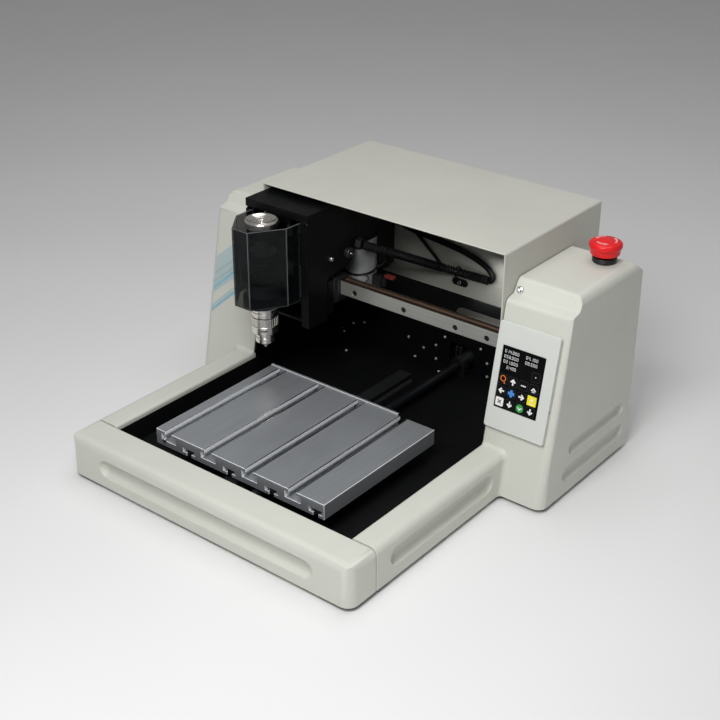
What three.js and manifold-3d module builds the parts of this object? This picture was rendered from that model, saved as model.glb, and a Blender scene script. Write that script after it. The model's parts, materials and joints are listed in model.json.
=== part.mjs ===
// Desktop CNC router: a moving T-slot table, a bridge with a cross-moving head, and a belt-driven spindle.
// Millimetres, +Z up, +X to the operator's right, +Y to the back. The drawing frame has x = 0 on the
// centre line, y = 0 on the front cover's face and z = 0 on the covers' lower edge; the group moves it onto
// its resting point.
import * as THREE from "three";
import { mergeVertices } from "three/addons/utils/BufferGeometryUtils.js";
import Module from "manifold-3d";

const wasm = await Module();
wasm.setup();

// ---------- driving dimensions ----------
const GAP = 0.3; // between pieces that touch
const WALL = 4; // moulded covers
const GROOVE_WALL = 12.4; // room the covers keep for a pressed-in grip groove
const GROOVE_DEEP = 8.5; // front cover and arms
const SIDE_GROOVE_DEEP = 5.5; // columns
const SHEET = 2; // folded sheet metal
const FOOT_DROP = 6; // feet below the covers' lower edge

const WIDTH = 584; // over the two columns
const DEPTH = 568; // front cover to the hood's back
const HALF = WIDTH / 2;
const HEIGHT = 305; // covers' lower edge to the hood's top

const ARM_HALF = 230; // outer side of the arms and of the front cover
const WELL_HALF = 194; // inner side of the arms
const SILL_TOP = 58; // height of the front cover and arms
const FRONT_DEPTH = 46.7;
const COLUMN_IN = 194.9;
const COLUMN_DRAFT = 5; // how far the outer side leans in at the top
const COLUMN_TOP = 265;
const COLUMN_FOOT_Y = 297; // where the sloped face meets the covers' lower edge
const LEDGE_Y = 345;
const LEDGE_Z = 244.5;
const COLUMN_BACK = 520;

const FLOOR_TOP = 22;
const FLOOR_THICK = 8;
const PLATE_Y = 506; // black back plate, front face
const PLATE_TOP = 139;

const HOOD_HALF = 194;
const HOOD_FRONT = 338;
const HOOD_SIDE_LOW = 190; // the hood's sides stop here between the columns
const GANTRY_IN = 194.3;
const GANTRY_THICK = 8;

const RAIL_Y = 370; // front face of the cross rail
const RAIL_LOW = 160;
const RAIL_HIGH = 180;
const RAIL_DEEP = 17.5;
const RAIL_PITCH = 82.9;
const RAIL_HOLE_Z = 167.8;
const BEAM = { y0: 387.8, y1: 395.3, z0: 158, z1: 174.8 };
const X_SCREW = { y: 402, z: 148, r: 6 };

const Y_RAIL_X = -11.5;
const Y_SCREW = { x: 31, z: 39, r: 6 };

const TABLE = { half: 138.5, y0: 66, y1: 283, z0: 47, z1: 68, pitch: 69, slot: -117 };

const SPINDLE = { x: -137, y: 272 };
const MOTOR = { x: -106, y: 440 };
const HEAD = { x0: -191, x1: -83, y0: 300, y1: 456, z0: 133.5, z1: 295.5 };
const GUIDES_X = [-176, -98];
const GUIDE_Y = 322;
const GUIDE_R = 5;
const Z_SCREW = { x: -158, y: 350, r: 4 };
const BELT_Z = [231, 241];
const SPINDLE_PULLEY_R = 18;
const MOTOR_PULLEY_R = 14;
const BELT_THICK = 1.6;

const ESTOP = { x: 252, y: 478 };

// ---------- materials ----------
function finish(color, roughness, metalness) {
  return new THREE.MeshStandardMaterial({ color, roughness, metalness });
}

const cover = finish("#dcdbd3", 0.55, 0);
const hoodPaint = finish("#d2d1c8", 0.5, 0.1);
const black = finish("#17181a", 0.55, 0.3);
const blackPlastic = finish("#141416", 0.5, 0);
const rubber = finish("#1c1c1c", 0.9, 0);
const aluminium = finish("#a9acb0", 0.35, 0.9);
const steel = finish("#c9c7c0", 0.3, 0.9);
const chrome = finish("#dededc", 0.12, 1);
const brass = finish("#b99a55", 0.35, 0.9);
const red = finish("#c5161d", 0.35, 0);
const smoke = finish("#20252b", 0.15, 0);
const glossBlack = finish("#0b0c0e", 0.15, 0);
const greyMotor = finish("#b4b6b6", 0.4, 0.6);

// ---------- solids ----------
const AXES = {
  x: [new THREE.Vector3(0, 1, 0), new THREE.Vector3(0, 0, 1), new THREE.Vector3(1, 0, 0)],
  y: [new THREE.Vector3(1, 0, 0), new THREE.Vector3(0, 0, 1), new THREE.Vector3(0, -1, 0)],
  z: [new THREE.Vector3(1, 0, 0), new THREE.Vector3(0, 1, 0), new THREE.Vector3(0, 0, 1)],
};

// Turns a geometry drawn along its own z so that it runs along the named axis.
function turned(geometry, axis) {
  return geometry.applyMatrix4(new THREE.Matrix4().makeBasis(...AXES[axis]));
}

function box(x0, x1, y0, y1, z0, z1) {
  const geometry = new THREE.BoxGeometry(x1 - x0, y1 - y0, z1 - z0);
  return geometry.translate((x0 + x1) / 2, (y0 + y1) / 2, (z0 + z1) / 2);
}

// A closed outline from [u, v, radius] corners: a corner with a radius is rounded by an arc.
function outline(corners) {
  const points = [];
  corners.forEach(([u, v, radius = 0], i) => {
    const here = new THREE.Vector2(u, v);
    if (!radius) {
      points.push(here);
      return;
    }
    const before = corners.at(i - 1);
    const after = corners[(i + 1) % corners.length];
    const back = new THREE.Vector2(before[0], before[1]).sub(here).normalize();
    const ahead = new THREE.Vector2(after[0], after[1]).sub(here).normalize();
    const half = Math.acos(THREE.MathUtils.clamp(back.dot(ahead), -1, 1)) / 2;
    const reach = radius / Math.tan(half);
    const middle = back.clone().add(ahead).normalize();
    const centre = here.clone().addScaledVector(middle, radius / Math.sin(half));
    const start = here.clone().addScaledVector(back, reach).sub(centre);
    const sweep = Math.PI - 2 * half;
    const sense = Math.sign(back.cross(ahead)) * -1;
    const steps = Math.max(2, Math.ceil(sweep / 0.42));
    for (let k = 0; k <= steps; k += 1) {
      const arm = start.clone().rotateAround(new THREE.Vector2(), (sense * sweep * k) / steps);
      points.push(arm.add(centre));
    }
  });
  return new THREE.Shape(points);
}

// An outline pulled along an axis from one place to another.
function prism(axis, corners, from, to, holes = []) {
  const shape = corners instanceof THREE.Shape ? corners : outline(corners);
  shape.holes.push(...holes.map((hole) => new THREE.Path(outline(hole).getPoints())));
  const geometry = new THREE.ExtrudeGeometry(shape, { depth: to - from, bevelEnabled: false });
  turned(geometry, axis);
  const start = { x: [from, 0, 0], y: [0, to, 0], z: [0, 0, from] }[axis];
  return geometry.translate(...start);
}

// A cylinder along an axis between two places; u and v place its centre in the other two directions.
function rod(axis, radius, from, to, u, v, sides = 24) {
  const geometry = new THREE.CylinderGeometry(radius, radius, to - from, sides);
  const middle = (from + to) / 2;
  if (axis === "x") return geometry.rotateZ(-Math.PI / 2).translate(middle, u, v);
  if (axis === "y") return geometry.translate(u, middle, v);
  return geometry.rotateX(Math.PI / 2).translate(u, v, middle);
}

// A turned piece about an upright axis: the profile holds [radius, height] points and closes on itself.
function turnedPiece(profile, x, y, sides = 28) {
  const points = profile.map(([radius, height]) => new THREE.Vector2(radius, height));
  const geometry = new THREE.LatheGeometry(points, sides);
  return geometry.rotateX(Math.PI / 2).translate(x, y, 0);
}

function ring(outer, inner, z0, z1, x, y, sides = 28) {
  return turnedPiece([[inner, z0], [outer, z0], [outer, z1], [inner, z1], [inner, z0]], x, y, sides);
}

function toSolid(geometry) {
  const plain = geometry.clone();
  plain.deleteAttribute("normal");
  plain.deleteAttribute("uv");
  const merged = mergeVertices(plain, 1e-3);
  const triVerts = new Uint32Array(merged.index.array);
  const vertProperties = merged.attributes.position.array;
  return new wasm.Manifold(new wasm.Mesh({ numProp: 3, vertProperties, triVerts }));
}

function toGeometry(manifold) {
  const mesh = manifold.getMesh();
  const geometry = new THREE.BufferGeometry();
  geometry.setAttribute("position", new THREE.BufferAttribute(mesh.vertProperties, 3));
  geometry.setIndex(new THREE.BufferAttribute(mesh.triVerts, 1));
  geometry.computeVertexNormals();
  return geometry;
}

function cut(body, ...tools) {
  return toGeometry(tools.reduce((left, tool) => left.subtract(toSolid(tool)), toSolid(body)));
}

function join(...bodies) {
  return toGeometry(bodies.map(toSolid).reduce((sum, next) => sum.add(next)));
}

function common(a, b) {
  return toGeometry(toSolid(a).intersect(toSolid(b)));
}

const machine = new THREE.Group();
machine.position.set(0, -DEPTH / 2, FOOT_DROP);

function add(name, geometry, material, parent = machine) {
  const mesh = new THREE.Mesh(geometry, material);
  mesh.name = name;
  parent.add(mesh);
  return mesh;
}

// ---------- base ----------
function basePan() {
  const arm = ARM_HALF - GROOVE_WALL - 0.5;
  const wide = HALF - GROOVE_WALL - 1;
  const front = GROOVE_WALL + 0.6;
  const tail = HOOD_HALF - SHEET - 1;
  const right = [[arm, front], [arm, 317], [wide, 317], [wide, 503], [tail, 503], [tail, 562], [54, 562],
    [54, 527]];
  const left = [[8, 527], [8, 562], [-tail, 562], [-tail, 503], [-wide, 503], [-wide, 317], [-arm, 317],
    [-arm, front]];
  const floor = prism("z", [...right, ...left], FLOOR_TOP - FLOOR_THICK, FLOOR_TOP);
  const lip = 50.5; // front and side walls of the well
  const inner = WELL_HALF - 1.5;
  const walls = prism(
    "z",
    [[-inner, lip], [inner, lip], [inner, 318], [inner - 1.5, 318], [inner - 1.5, lip + 1.5],
      [-inner + 1.5, lip + 1.5], [-inner + 1.5, 318], [-inner, 318]],
    FLOOR_TOP - 1,
    52,
  );
  add("base_pan", join(floor, walls), black);
}

function feet() {
  const places = { foot_front_left: [-208, 28], foot_front_right: [208, 28],
    foot_rear_left: [-262, 484], foot_rear_right: [262, 484] };
  const top = FLOOR_TOP - FLOOR_THICK - GAP;
  for (const [name, [x, y]] of Object.entries(places)) {
    const profile = [[0, -FOOT_DROP], [11, -FOOT_DROP], [13, -FOOT_DROP + 2], [11.5, top], [0, top]];
    add(name, turnedPiece(profile, x, y, 20), rubber);
  }
}

// ---------- moulded covers ----------
function frontCover() {
  const radius = 11;
  const section = [[0, 0], [FRONT_DEPTH, 0], [FRONT_DEPTH, SILL_TOP, 3], [0, SILL_TOP, radius]];
  const plan = prism(
    "z",
    [[-ARM_HALF, FRONT_DEPTH], [-ARM_HALF, 0, 14], [ARM_HALF, 0, 14], [ARM_HALF, FRONT_DEPTH]],
    0,
    SILL_TOP,
  );
  const bar = common(prism("x", section, -ARM_HALF, ARM_HALF), plan);
  const facing = [[-ARM_HALF, 0], [ARM_HALF, 0], [ARM_HALF, SILL_TOP, 10], [-ARM_HALF, SILL_TOP, 10]];
  const ends = prism("y", facing, 0, FRONT_DEPTH);
  const skin = common(bar, ends);
  const room = prism(
    "x",
    [[WALL, -1], [FRONT_DEPTH - WALL, -1], [FRONT_DEPTH - WALL, SILL_TOP - WALL],
      [WALL, SILL_TOP - WALL, 7]],
    -ARM_HALF + WALL + 3,
    ARM_HALF - WALL - 3,
  );
  const hollow = cut(room, box(-182, 182, 0, GROOVE_WALL, -2, 45));
  const underFloor = box(-ARM_HALF + WALL, ARM_HALF - WALL, GROOVE_WALL, 60, -1, FLOOR_TOP + GAP);
  const groove = gripGroove("y", -176, 176, 15, 40, 0, GROOVE_DEEP);
  add("front_cover", cut(skin, hollow, underFloor, groove), cover);
}

// A solid through a row of convex rings of [x, y, z] points, each with the same number of points.
function loft(rings) {
  const count = rings[0].length;
  const last = (rings.length - 1) * count;
  const faces = [];
  for (let k = 1; k < count - 1; k += 1) {
    faces.push(0, k + 1, k);
    faces.push(last, last + k, last + k + 1);
  }
  for (let low = 0; low < last; low += count) {
    for (let k = 0; k < count; k += 1) {
      const next = (k + 1) % count;
      faces.push(low + k, low + next, low + count + next, low + k, low + count + next, low + count + k);
    }
  }
  const geometry = new THREE.BufferGeometry();
  geometry.setAttribute("position", new THREE.Float32BufferAttribute(rings.flat(2), 3));
  geometry.setIndex(faces);
  return geometry;
}

// A long recess with round ends and a hollowed section: u0 to u1 along the cover, v0 to v1 high, pressed in
// from the cover's outer face at the given place along the axis.
function gripGroove(axis, u0, u1, v0, v1, face, deep) {
  const full = (v1 - v0) / 2;
  const steps = 8; // round each end
  const levels = 4;
  const ringAt = (radius, depth) => {
    const ring = [];
    for (const [end, start] of [[u1 - full, -Math.PI / 2], [u0 + full, Math.PI / 2]]) {
      for (let k = 0; k <= steps; k += 1) {
        const turn = start + (Math.PI * k) / steps;
        ring.push([end + radius * Math.cos(turn), v0 + full + radius * Math.sin(turn), depth]);
      }
    }
    return ring;
  };
  const rings = [];
  for (let k = 0; k <= levels; k += 1) {
    const turn = (Math.PI / 2) * (k / levels);
    rings.push(ringAt(full * (0.28 + 0.72 * Math.sin(turn)), -deep * Math.cos(turn)));
  }
  rings.push(ringAt(full, 12));
  const geometry = turned(loft(rings), axis);
  return axis === "x" ? geometry.translate(face, 0, 0) : geometry.translate(0, face, 0);
}

// How far the column's sloped face goes back for each millimetre it rises.
function faceLean() {
  return (LEDGE_Y - COLUMN_FOOT_Y) / LEDGE_Z;
}

function columnProfile(inset) {
  const low = inset ? -1 : 0;
  const lean = faceLean();
  return [
    [COLUMN_FOOT_Y + inset + lean * low, low],
    [LEDGE_Y + inset, LEDGE_Z - inset * 0.8, 8],
    [361 + inset, LEDGE_Z + 3.5 - inset, 5],
    [371 + inset * 0.9, COLUMN_TOP - inset, 8 - inset / 2],
    [497 - inset * 0.5, COLUMN_TOP - inset, 12],
    [COLUMN_BACK - inset, LEDGE_Z + 2 - inset * 0.5, 10],
    [COLUMN_BACK - inset, 30 + inset * 0.3, 8],
    [507 - inset, 9, 4],
    [507 - inset, low],
  ];
}

// The column as the common part of its side, front and plan outlines; the inset makes the room inside it.
function columnBlock(inset) {
  const inner = COLUMN_IN - (inset ? 20 : 0);
  const outer = HALF - inset;
  const round = 13 - inset;
  const low = inset ? -1 : 0;
  const lean = faceLean();
  const side = prism("x", columnProfile(inset), inner, outer);
  const front = prism("y", [[inner, low], [outer, low], [outer - COLUMN_DRAFT, COLUMN_TOP - inset, round],
    [inner, COLUMN_TOP - inset]], 280, 540);
  const face = COLUMN_FOOT_Y + inset;
  const plan = prism("z", [[inner, face], [outer, face, round], [outer, COLUMN_BACK - inset, round],
    [inner, COLUMN_BACK - inset]], 0, COLUMN_TOP);
  const place = plan.attributes.position;
  for (let i = 0; i < place.count; i += 1) {
    if (place.getY(i) < 400) place.setY(i, place.getY(i) + lean * place.getZ(i));
  }
  if (inset) plan.translate(0, -lean, -1);
  return common(common(side, front), plan);
}

// The arm's section, growing along a hollow curve as it runs into the column's sloped face.
function armRoot(radius) {
  const lean = Math.atan(faceLean());
  const reach = radius * Math.tan((Math.PI / 2 - lean) / 2);
  const start = COLUMN_FOOT_Y + faceLean() * SILL_TOP - reach;
  const inner = COLUMN_IN + GAP;
  const ringAt = (grow, along) => {
    const section = outline([[inner, 0], [ARM_HALF + grow, 0], [ARM_HALF + grow, SILL_TOP + grow, 10],
      [inner, SILL_TOP + grow, 3]]).getPoints();
    return section.map((p) => [p.x, along + faceLean() * (p.y - SILL_TOP), p.y]).reverse();
  };
  const rings = [ringAt(0, start - 1)];
  const steps = 6;
  for (let k = 0; k <= steps; k += 1) {
    const turn = ((Math.PI / 2 - lean) * k) / steps;
    rings.push(ringAt(radius * (1 - Math.cos(turn)), start + radius * Math.sin(turn)));
  }
  rings.push(ringAt(radius * (1 - Math.sin(lean)), start + radius + 6));
  return loft(rings);
}

function sideCover(name, mirrored) {
  const arm = prism(
    "y",
    [[WELL_HALF, 0], [ARM_HALF, 0], [ARM_HALF, SILL_TOP, 10], [WELL_HALF, SILL_TOP, 4]],
    FRONT_DEPTH + GAP,
    325,
  );
  const body = join(columnBlock(0), arm, armRoot(8));
  const columnRoom = cut(columnBlock(WALL), box(HALF - GROOVE_WALL, HALF + 1, 338, 504, -2, 77));
  const armInside = prism(
    "y",
    [[WELL_HALF + WALL, -1], [ARM_HALF - WALL, -1], [ARM_HALF - WALL, SILL_TOP - WALL, 6],
      [WELL_HALF + WALL, SILL_TOP - WALL]],
    FRONT_DEPTH + GAP + WALL,
    326,
  );
  const armRoom = cut(armInside, box(ARM_HALF - GROOVE_WALL, ARM_HALF + 1, 68, 288, -2, 47));
  const underFloor = box(WELL_HALF - 4, ARM_HALF - GROOVE_WALL, 40, 320, -1, FLOOR_TOP + GAP);
  const grooves = [
    gripGroove("x", 74, 282, 16, 42, ARM_HALF, GROOVE_DEEP),
    gripGroove("x", 345, 497, 18, 38, HALF - 0.5, SIDE_GROOVE_DEEP),
    gripGroove("x", 357, 495, 53, 71, HALF - 1.1, SIDE_GROOVE_DEEP),
  ];
  const stopHole = rod("z", 11.6, 230, 300, ESTOP.x, ESTOP.y);
  const cutters = [columnRoom, armRoom, underFloor, ...grooves];
  if (!mirrored) cutters.push(stopHole);
  const mesh = add(name, cut(body, ...cutters), cover);
  if (mirrored) mesh.scale.x = -1;
}

// ---------- hood, back plate and rear panel ----------
function hood() {
  const outer = prism(
    "y",
    [[-HOOD_HALF, 2], [HOOD_HALF, 2], [HOOD_HALF, HEIGHT, 3], [-HOOD_HALF, HEIGHT, 3]],
    HOOD_FRONT,
    DEPTH,
  );
  const room = box(-HOOD_HALF + SHEET, HOOD_HALF - SHEET, HOOD_FRONT - 1, DEPTH - SHEET, 0, HEIGHT - SHEET);
  const betweenColumns = box(-300, 300, HOOD_FRONT - 1, COLUMN_BACK + 2, 0, HOOD_SIDE_LOW);
  const window = box(-170, 170, DEPTH - 10, DEPTH + 1, 8, 72);
  add("hood", cut(outer, room, betweenColumns, window), hoodPaint);
}

function rearPanel() {
  const panel = box(-169.7, 169.7, DEPTH - SHEET, DEPTH, 8.3, 71.7);
  const inlet = box(-131.6, -102.4, DEPTH - 5, DEPTH + 1, 28.4, 51.6);
  const rocker = box(-86.6, -73.4, DEPTH - 5, DEPTH + 1, 29.8, 50.2);
  const motorRoom = box(8.5, 53.5, DEPTH - 5, DEPTH + 1, 16.5, 61.5);
  add("rear_panel", cut(panel, inlet, rocker, motorRoom), black);
}

function backPlate() {
  const corner = 13;
  const plate = prism("y", [[-193.6, FLOOR_TOP + GAP], [193.6, FLOOR_TOP + GAP], [193.6, PLATE_TOP],
    [-193.6, PLATE_TOP]], PLATE_Y, PLATE_Y + 3);
  const shaftWindow = prism("y", [[5, 27], [48, 27], [48, 62, corner], [5, 62]], PLATE_Y - 1, PLATE_Y + 4);
  const cableSlot = prism("y", [[13, 97, 11], [150, 97, 11], [150, 121, 11], [13, 121, 11]],
    PLATE_Y - 1, PLATE_Y + 4);
  add("back_plate", cut(plate, shaftWindow, cableSlot), black);
}

// ---------- gantry ----------
function gantryPlate(name, side) {
  const front = (z) => COLUMN_FOOT_Y + faceLean() * z;
  const low = FLOOR_TOP + GAP;
  const inside = WALL + 1.5;
  const corners = [[front(low) + inside, low], [508, low], [508, 225], [490, 250], [382, 250],
    [366, 236], [352, 232], [front(225) + inside, 225]];
  const x0 = side > 0 ? GANTRY_IN : -GANTRY_IN - GANTRY_THICK;
  const plate = prism("x", corners, x0, x0 + GANTRY_THICK);
  const thin = 2.6; // a flange on the plate's inner face, behind the cover's inner edge
  const f0 = side > 0 ? GANTRY_IN - thin + GAP : -GANTRY_IN - GAP;
  const sill = SILL_TOP + 0.6;
  const under = HOOD_SIDE_LOW - 1;
  const back = HOOD_FRONT - 0.5;
  const edge = [[front(sill) + 0.8, sill], [back, sill], [back, under], [front(under) + 0.8, under]];
  const flange = prism("x", edge, f0, f0 + thin);
  const bore = rod("x", X_SCREW.r + GAP, x0 - 1, x0 + GANTRY_THICK + 1, X_SCREW.y, X_SCREW.z);
  add(name, cut(join(plate, flange), bore), black);
}

function crossRail() {
  const rail = prism(
    "x",
    [[RAIL_Y, RAIL_LOW], [RAIL_Y + 5, RAIL_LOW], [RAIL_Y + 7, RAIL_LOW + 2], [RAIL_Y + 10, RAIL_LOW + 2],
      [RAIL_Y + 12, RAIL_LOW], [RAIL_Y + RAIL_DEEP, RAIL_LOW], [RAIL_Y + RAIL_DEEP, RAIL_HIGH],
      [RAIL_Y + 12, RAIL_HIGH], [RAIL_Y + 10, RAIL_HIGH - 2], [RAIL_Y + 7, RAIL_HIGH - 2],
      [RAIL_Y + 5, RAIL_HIGH], [RAIL_Y, RAIL_HIGH]],
    -WELL_HALF,
    WELL_HALF,
  );
  const holes = [-1, 0, 1, 2, 3].map((k) => -61.3 + k * RAIL_PITCH).concat(153.4)
    .map((x) => rod("y", 3.9, RAIL_Y - 1, RAIL_Y + 9, x, RAIL_HOLE_Z, 12));
  add("x_rail", cut(rail, ...holes), steel);
  add("x_beam", box(-WELL_HALF, WELL_HALF, BEAM.y0, BEAM.y1, BEAM.z0, BEAM.z1), black);
}

function crossDrive() {
  const { y, z, r } = X_SCREW;
  add("x_screw", rod("x", r, -201.5, 225, y, z, 16), steel);
  add("x_motor", box(226, 280, y - 28, y + 28, z - 28, z + 28), blackPlastic);
}

// ---------- table drive ----------
function tableDrive() {
  const x = Y_RAIL_X;
  const foot = FLOOR_TOP + GAP;
  const rail = [[x - 13, foot], [x + 13, foot], [x + 13, 31], [x + 8, 34], [x + 8, 36], [x + 10, 38],
    [x + 10, 42], [x - 10, 42], [x - 10, 38], [x - 8, 36], [x - 8, 34], [x - 13, 31]];
  add("y_rail", prism("y", rail, 56, 424), black);
  const block = [[x - 24, 30.5], [x - 13.6, 30.5], [x - 13.6, 42.6], [x + 13.6, 42.6], [x + 13.6, 30.5],
    [x + 24, 30.5], [x + 24, TABLE.z0 - GAP], [x - 24, TABLE.z0 - GAP]];
  add("y_block", prism("y", block, 104, 222), steel);

  const { r, z } = Y_SCREW;
  const at = Y_SCREW.x;
  add("y_screw", rod("y", r, 60, 500.7, at, z, 20), black);
  add("y_coupling", rod("y", 10.5, 501, 529.7, at, z, 20), aluminium);
  const face = [[at - 21, z - 21, 4], [at + 21, z - 21, 4], [at + 21, z + 21, 4], [at - 21, z + 21, 4]];
  add("y_motor", prism("y", face, 530, DEPTH - 0.5), blackPlastic);
  const nut = box(20, 42, 150, 190, 30, TABLE.z0 - GAP);
  add("y_nut", cut(nut, rod("y", r + 0.4, 149, 191, at, z, 20)), brass);
  const housing = [[at - 12, foot], [at + 12, foot], [at + 12, 50, 10.5], [at - 12, 50, 10.5]];
  const bearing = prism("y", housing, 489, 499);
  add("y_rear_bearing", cut(bearing, rod("y", r + 0.3, 488, 500, at, z, 20)), blackPlastic);
}

// ---------- table ----------
function table() {
  const { half, y0, y1, z0, z1, pitch, slot } = TABLE;
  const right = [[half, z0]];
  const top = [[half, z1]];
  for (let k = 3; k >= 0; k -= 1) {
    const x = slot + k * pitch;
    top.push([x + 5.5, z1], [x + 5.5, z1 - 5], [x + 12, z1 - 5], [x + 12, z1 - 13], [x - 12, z1 - 13],
      [x - 12, z1 - 5], [x - 5.5, z1 - 5], [x - 5.5, z1]);
  }
  const under = [];
  for (let k = 0; k < 4; k += 1) {
    const x = slot + 35.5 + k * pitch;
    under.push([x - 4, z0], [x - 4, z0 + 4.5], [x - 10, z0 + 4.5], [x - 10, z0 + 10], [x + 10, z0 + 10],
      [x + 10, z0 + 4.5], [x + 4, z0 + 4.5], [x + 4, z0]);
  }
  const section = [...right, ...top, [-half, z1], [-half, z0], ...under];
  add("table", prism("y", section, y0, y1), aluminium);
  add("table_rear_strip", box(-half, 79, y1 + GAP, y1 + 4, z0 + 2, z1 + 1.5), aluminium);
}

// ---------- head: the pieces that only move across ----------
function carriage() {
  add("carriage_plate", box(-188, -86, 344, 356, 137.8, 187), black);
  for (const [name, x0, x1] of [["x_block_left", -188, -152], ["x_block_right", -130, -87]]) {
    const front = RAIL_Y - 0.5;
    const block = prism("x", [[356.3, 150, 2], [384, 150, 2], [384, RAIL_LOW - 0.5], [front, RAIL_LOW - 0.5],
      [front, RAIL_HIGH + 0.5], [384, RAIL_HIGH + 0.5], [384, 187, 2], [356.3, 187, 2]], x0, x1);
    add(name, block, steel);
  }
  const nut = box(-149, -133, 356.3, 411, 138, 157);
  add("x_nut", cut(nut, rod("x", X_SCREW.r + 0.4, -150, -132, X_SCREW.y, X_SCREW.z, 20)), brass);
}

function headHousing() {
  const { x0, x1, y0, y1, z0, z1 } = HEAD;
  const t = 2.5;
  const flange = 13;
  const plan = [
    [x0, y0], [x0 + flange, y0], [x0 + flange, y0 + t], [x0 + t, y0 + t], [x0 + t, y1], [x0, y1],
  ];
  const side = [[y0 - 1, z0], [338, z0], [338, 190], [344, 196], [384, 198], [394, 208], [405, 228],
    [y1, 230], [y1, z1], [y0 - 1, z1]];
  const shape = prism("x", side, x0 - 5, x1 + 5);
  const left = common(prism("z", plan, z0, z1), shape);
  const rightPlan = plan.map(([x, y]) => [x0 + x1 - x, y]).reverse();
  const right = common(prism("z", rightPlan, z0, z1), shape);
  const top = box(x0, x1, y0, y1, z1 - t, z1);
  const lip = box(x0, x1, y0, y0 + t, z1 - 11, z1);
  const sleeves = box(x0 + flange, x1 - flange, y0 - 1, y0 + 4, z0 - 1, z1 - 11);
  const notch = box(x0 - 1, x1 + 1, y0 - 1, y0 + t + 0.01, 281, z1 - 11);
  add("head_housing", cut(join(left, right, top, lip), sleeves, notch), black);
}

function headFloor() {
  const plate = box(HEAD.x0 + 2.8, HEAD.x1 - 2.8, 311, 337.5, HEAD.z0, HEAD.z0 + 4);
  add("head_floor", plate, black);
  for (const [name, x] of [["z_guide_left", GUIDES_X[0]], ["z_guide_right", GUIDES_X[1]]]) {
    add(name, rod("z", GUIDE_R, HEAD.z0 + 4.3, HEAD.z1 - 2.8, x, GUIDE_Y, 16), chrome);
  }
}

function verticalDrive() {
  const { x, y, r } = Z_SCREW;
  add("z_motor", box(x - 17.5, x + 17.5, y - 17.5, y + 17.5, 259, HEAD.z1 - 2.8), blackPlastic);
  add("z_screw", rod("z", r, 193, 258.7, x, y, 16), steel);
}

// Smoked guard: flat panels folded round the spindle between the housing's front flanges.
function guard() {
  const outer = [[-179, 299.4], [-179, 268], [-153, 232], [-126, 232], [-97, 275], [-96, 299.4]];
  const thick = 2.2;
  const cx = -139;
  const cy = 290;
  const inner = outer.map(([x, y]) => {
    const dx = x - cx;
    const dy = y - cy;
    const share = 1 - thick / Math.hypot(dx, dy);
    return y > 299 ? [x - Math.sign(dx) * thick, y] : [cx + dx * share, cy + dy * share];
  });
  add("spindle_guard", prism("z", [...outer, ...inner.reverse()], 173, 283), smoke);
}

// ---------- head: the pieces that also move up and down ----------
function spindleSlide() {
  const block = box(-186, -88, 309, 334, 172, 217.7);
  const bores = GUIDES_X.map((x) => rod("z", GUIDE_R + 0.4, 160, 230, x, GUIDE_Y, 16));
  add("z_slide_block", cut(block, ...bores), aluminium);

  const arm = prism("z", [[-186, 309], [-88, 309], [-88, 462, 8], [-128, 462, 8], [-128, 372],
    [-174, 368], [-174, 338], [-186, 334]], 218, 225.7);
  const holes = [
    ...GUIDES_X.map((x) => rod("z", GUIDE_R + 0.4, 210, 240, x, GUIDE_Y, 16)),
    rod("z", Z_SCREW.r + 0.4, 210, 240, Z_SCREW.x, Z_SCREW.y, 16),
    rod("z", 6, 210, 240, MOTOR.x, MOTOR.y, 16),
  ];
  add("motor_arm", cut(arm, ...holes), black);
}

function spindle() {
  const { x, y } = SPINDLE;
  const plan = [[-168, 308.7], [-168, 282], [-158, 254, 10], [-148, 243, 10], [-126, 243, 10],
    [-116, 254, 10], [-106, 282], [-106, 308.7]];
  const plates = [[168, 182], [205, 219]].map(([z0, z1]) => prism("z", plan, z0, z1));
  const back = box(-168, -106, 298, 308.7, 168, 211);
  const bore = rod("z", 23.3, 150, 240, x, y, 28);
  add("spindle_bracket", cut(join(...plates, back), bore), black);
  add("spindle_body", ring(23, 9.4, 165, 225, x, y), blackPlastic);
  const sleeve = [[9.4, 128], [12, 128], [12, 150.4], [17.6, 150.4], [17.6, 164.7], [9.4, 164.7], [9.4, 128]];
  add("nose_sleeve", turnedPiece(sleeve, x, y), chrome);
}

// Fluted adjusting ring with a plain flange below it.
function depthRing() {
  const { x, y } = SPINDLE;
  const flutes = 20;
  const points = [];
  for (let k = 0; k < flutes; k += 1) {
    for (const [share, radius] of [[0, 18.3], [0.5, 18.3], [0.6, 17.2], [0.9, 17.2]]) {
      const turn = ((k + share) / flutes) * Math.PI * 2;
      points.push([x + radius * Math.cos(turn), y + radius * Math.sin(turn)]);
    }
  }
  const fluted = prism("z", points, 138, 150);
  const flange = rod("z", 18.3, 126.5, 138.5, x, y, 28);
  const collar = rod("z", 13.4, 111, 127, x, y, 28);
  const bore = rod("z", 12.3, 125, 151, x, y, 28);
  const throat = rod("z", 5, 100, 126, x, y, 20);
  add("depth_ring", cut(join(fluted, flange, collar), bore, throat), chrome);
}

function rotor() {
  const { x, y } = SPINDLE;
  add("spindle_shaft", ring(9, 3.95, 127, 262, x, y, 24), steel);
  add("spindle_pulley", ring(SPINDLE_PULLEY_R, 9.3, 229, 244, x, y), aluminium);
  const dish = [[0, 262.3], [17, 262.3], [17, 276], [21, 278], [22.5, 281], [22.5, 286], [21, 288],
    [17, 286.5], [9, 283.5], [0, 283]];
  add("spindle_knob", turnedPiece(dish, x, y, 32), chrome);
  const tool = [[0, 101.6], [1.2, 101.6], [3.65, 106], [3.65, 262], [0, 262]];
  add("tool_bit", turnedPiece(tool, x, y, 16), steel);
}

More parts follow.
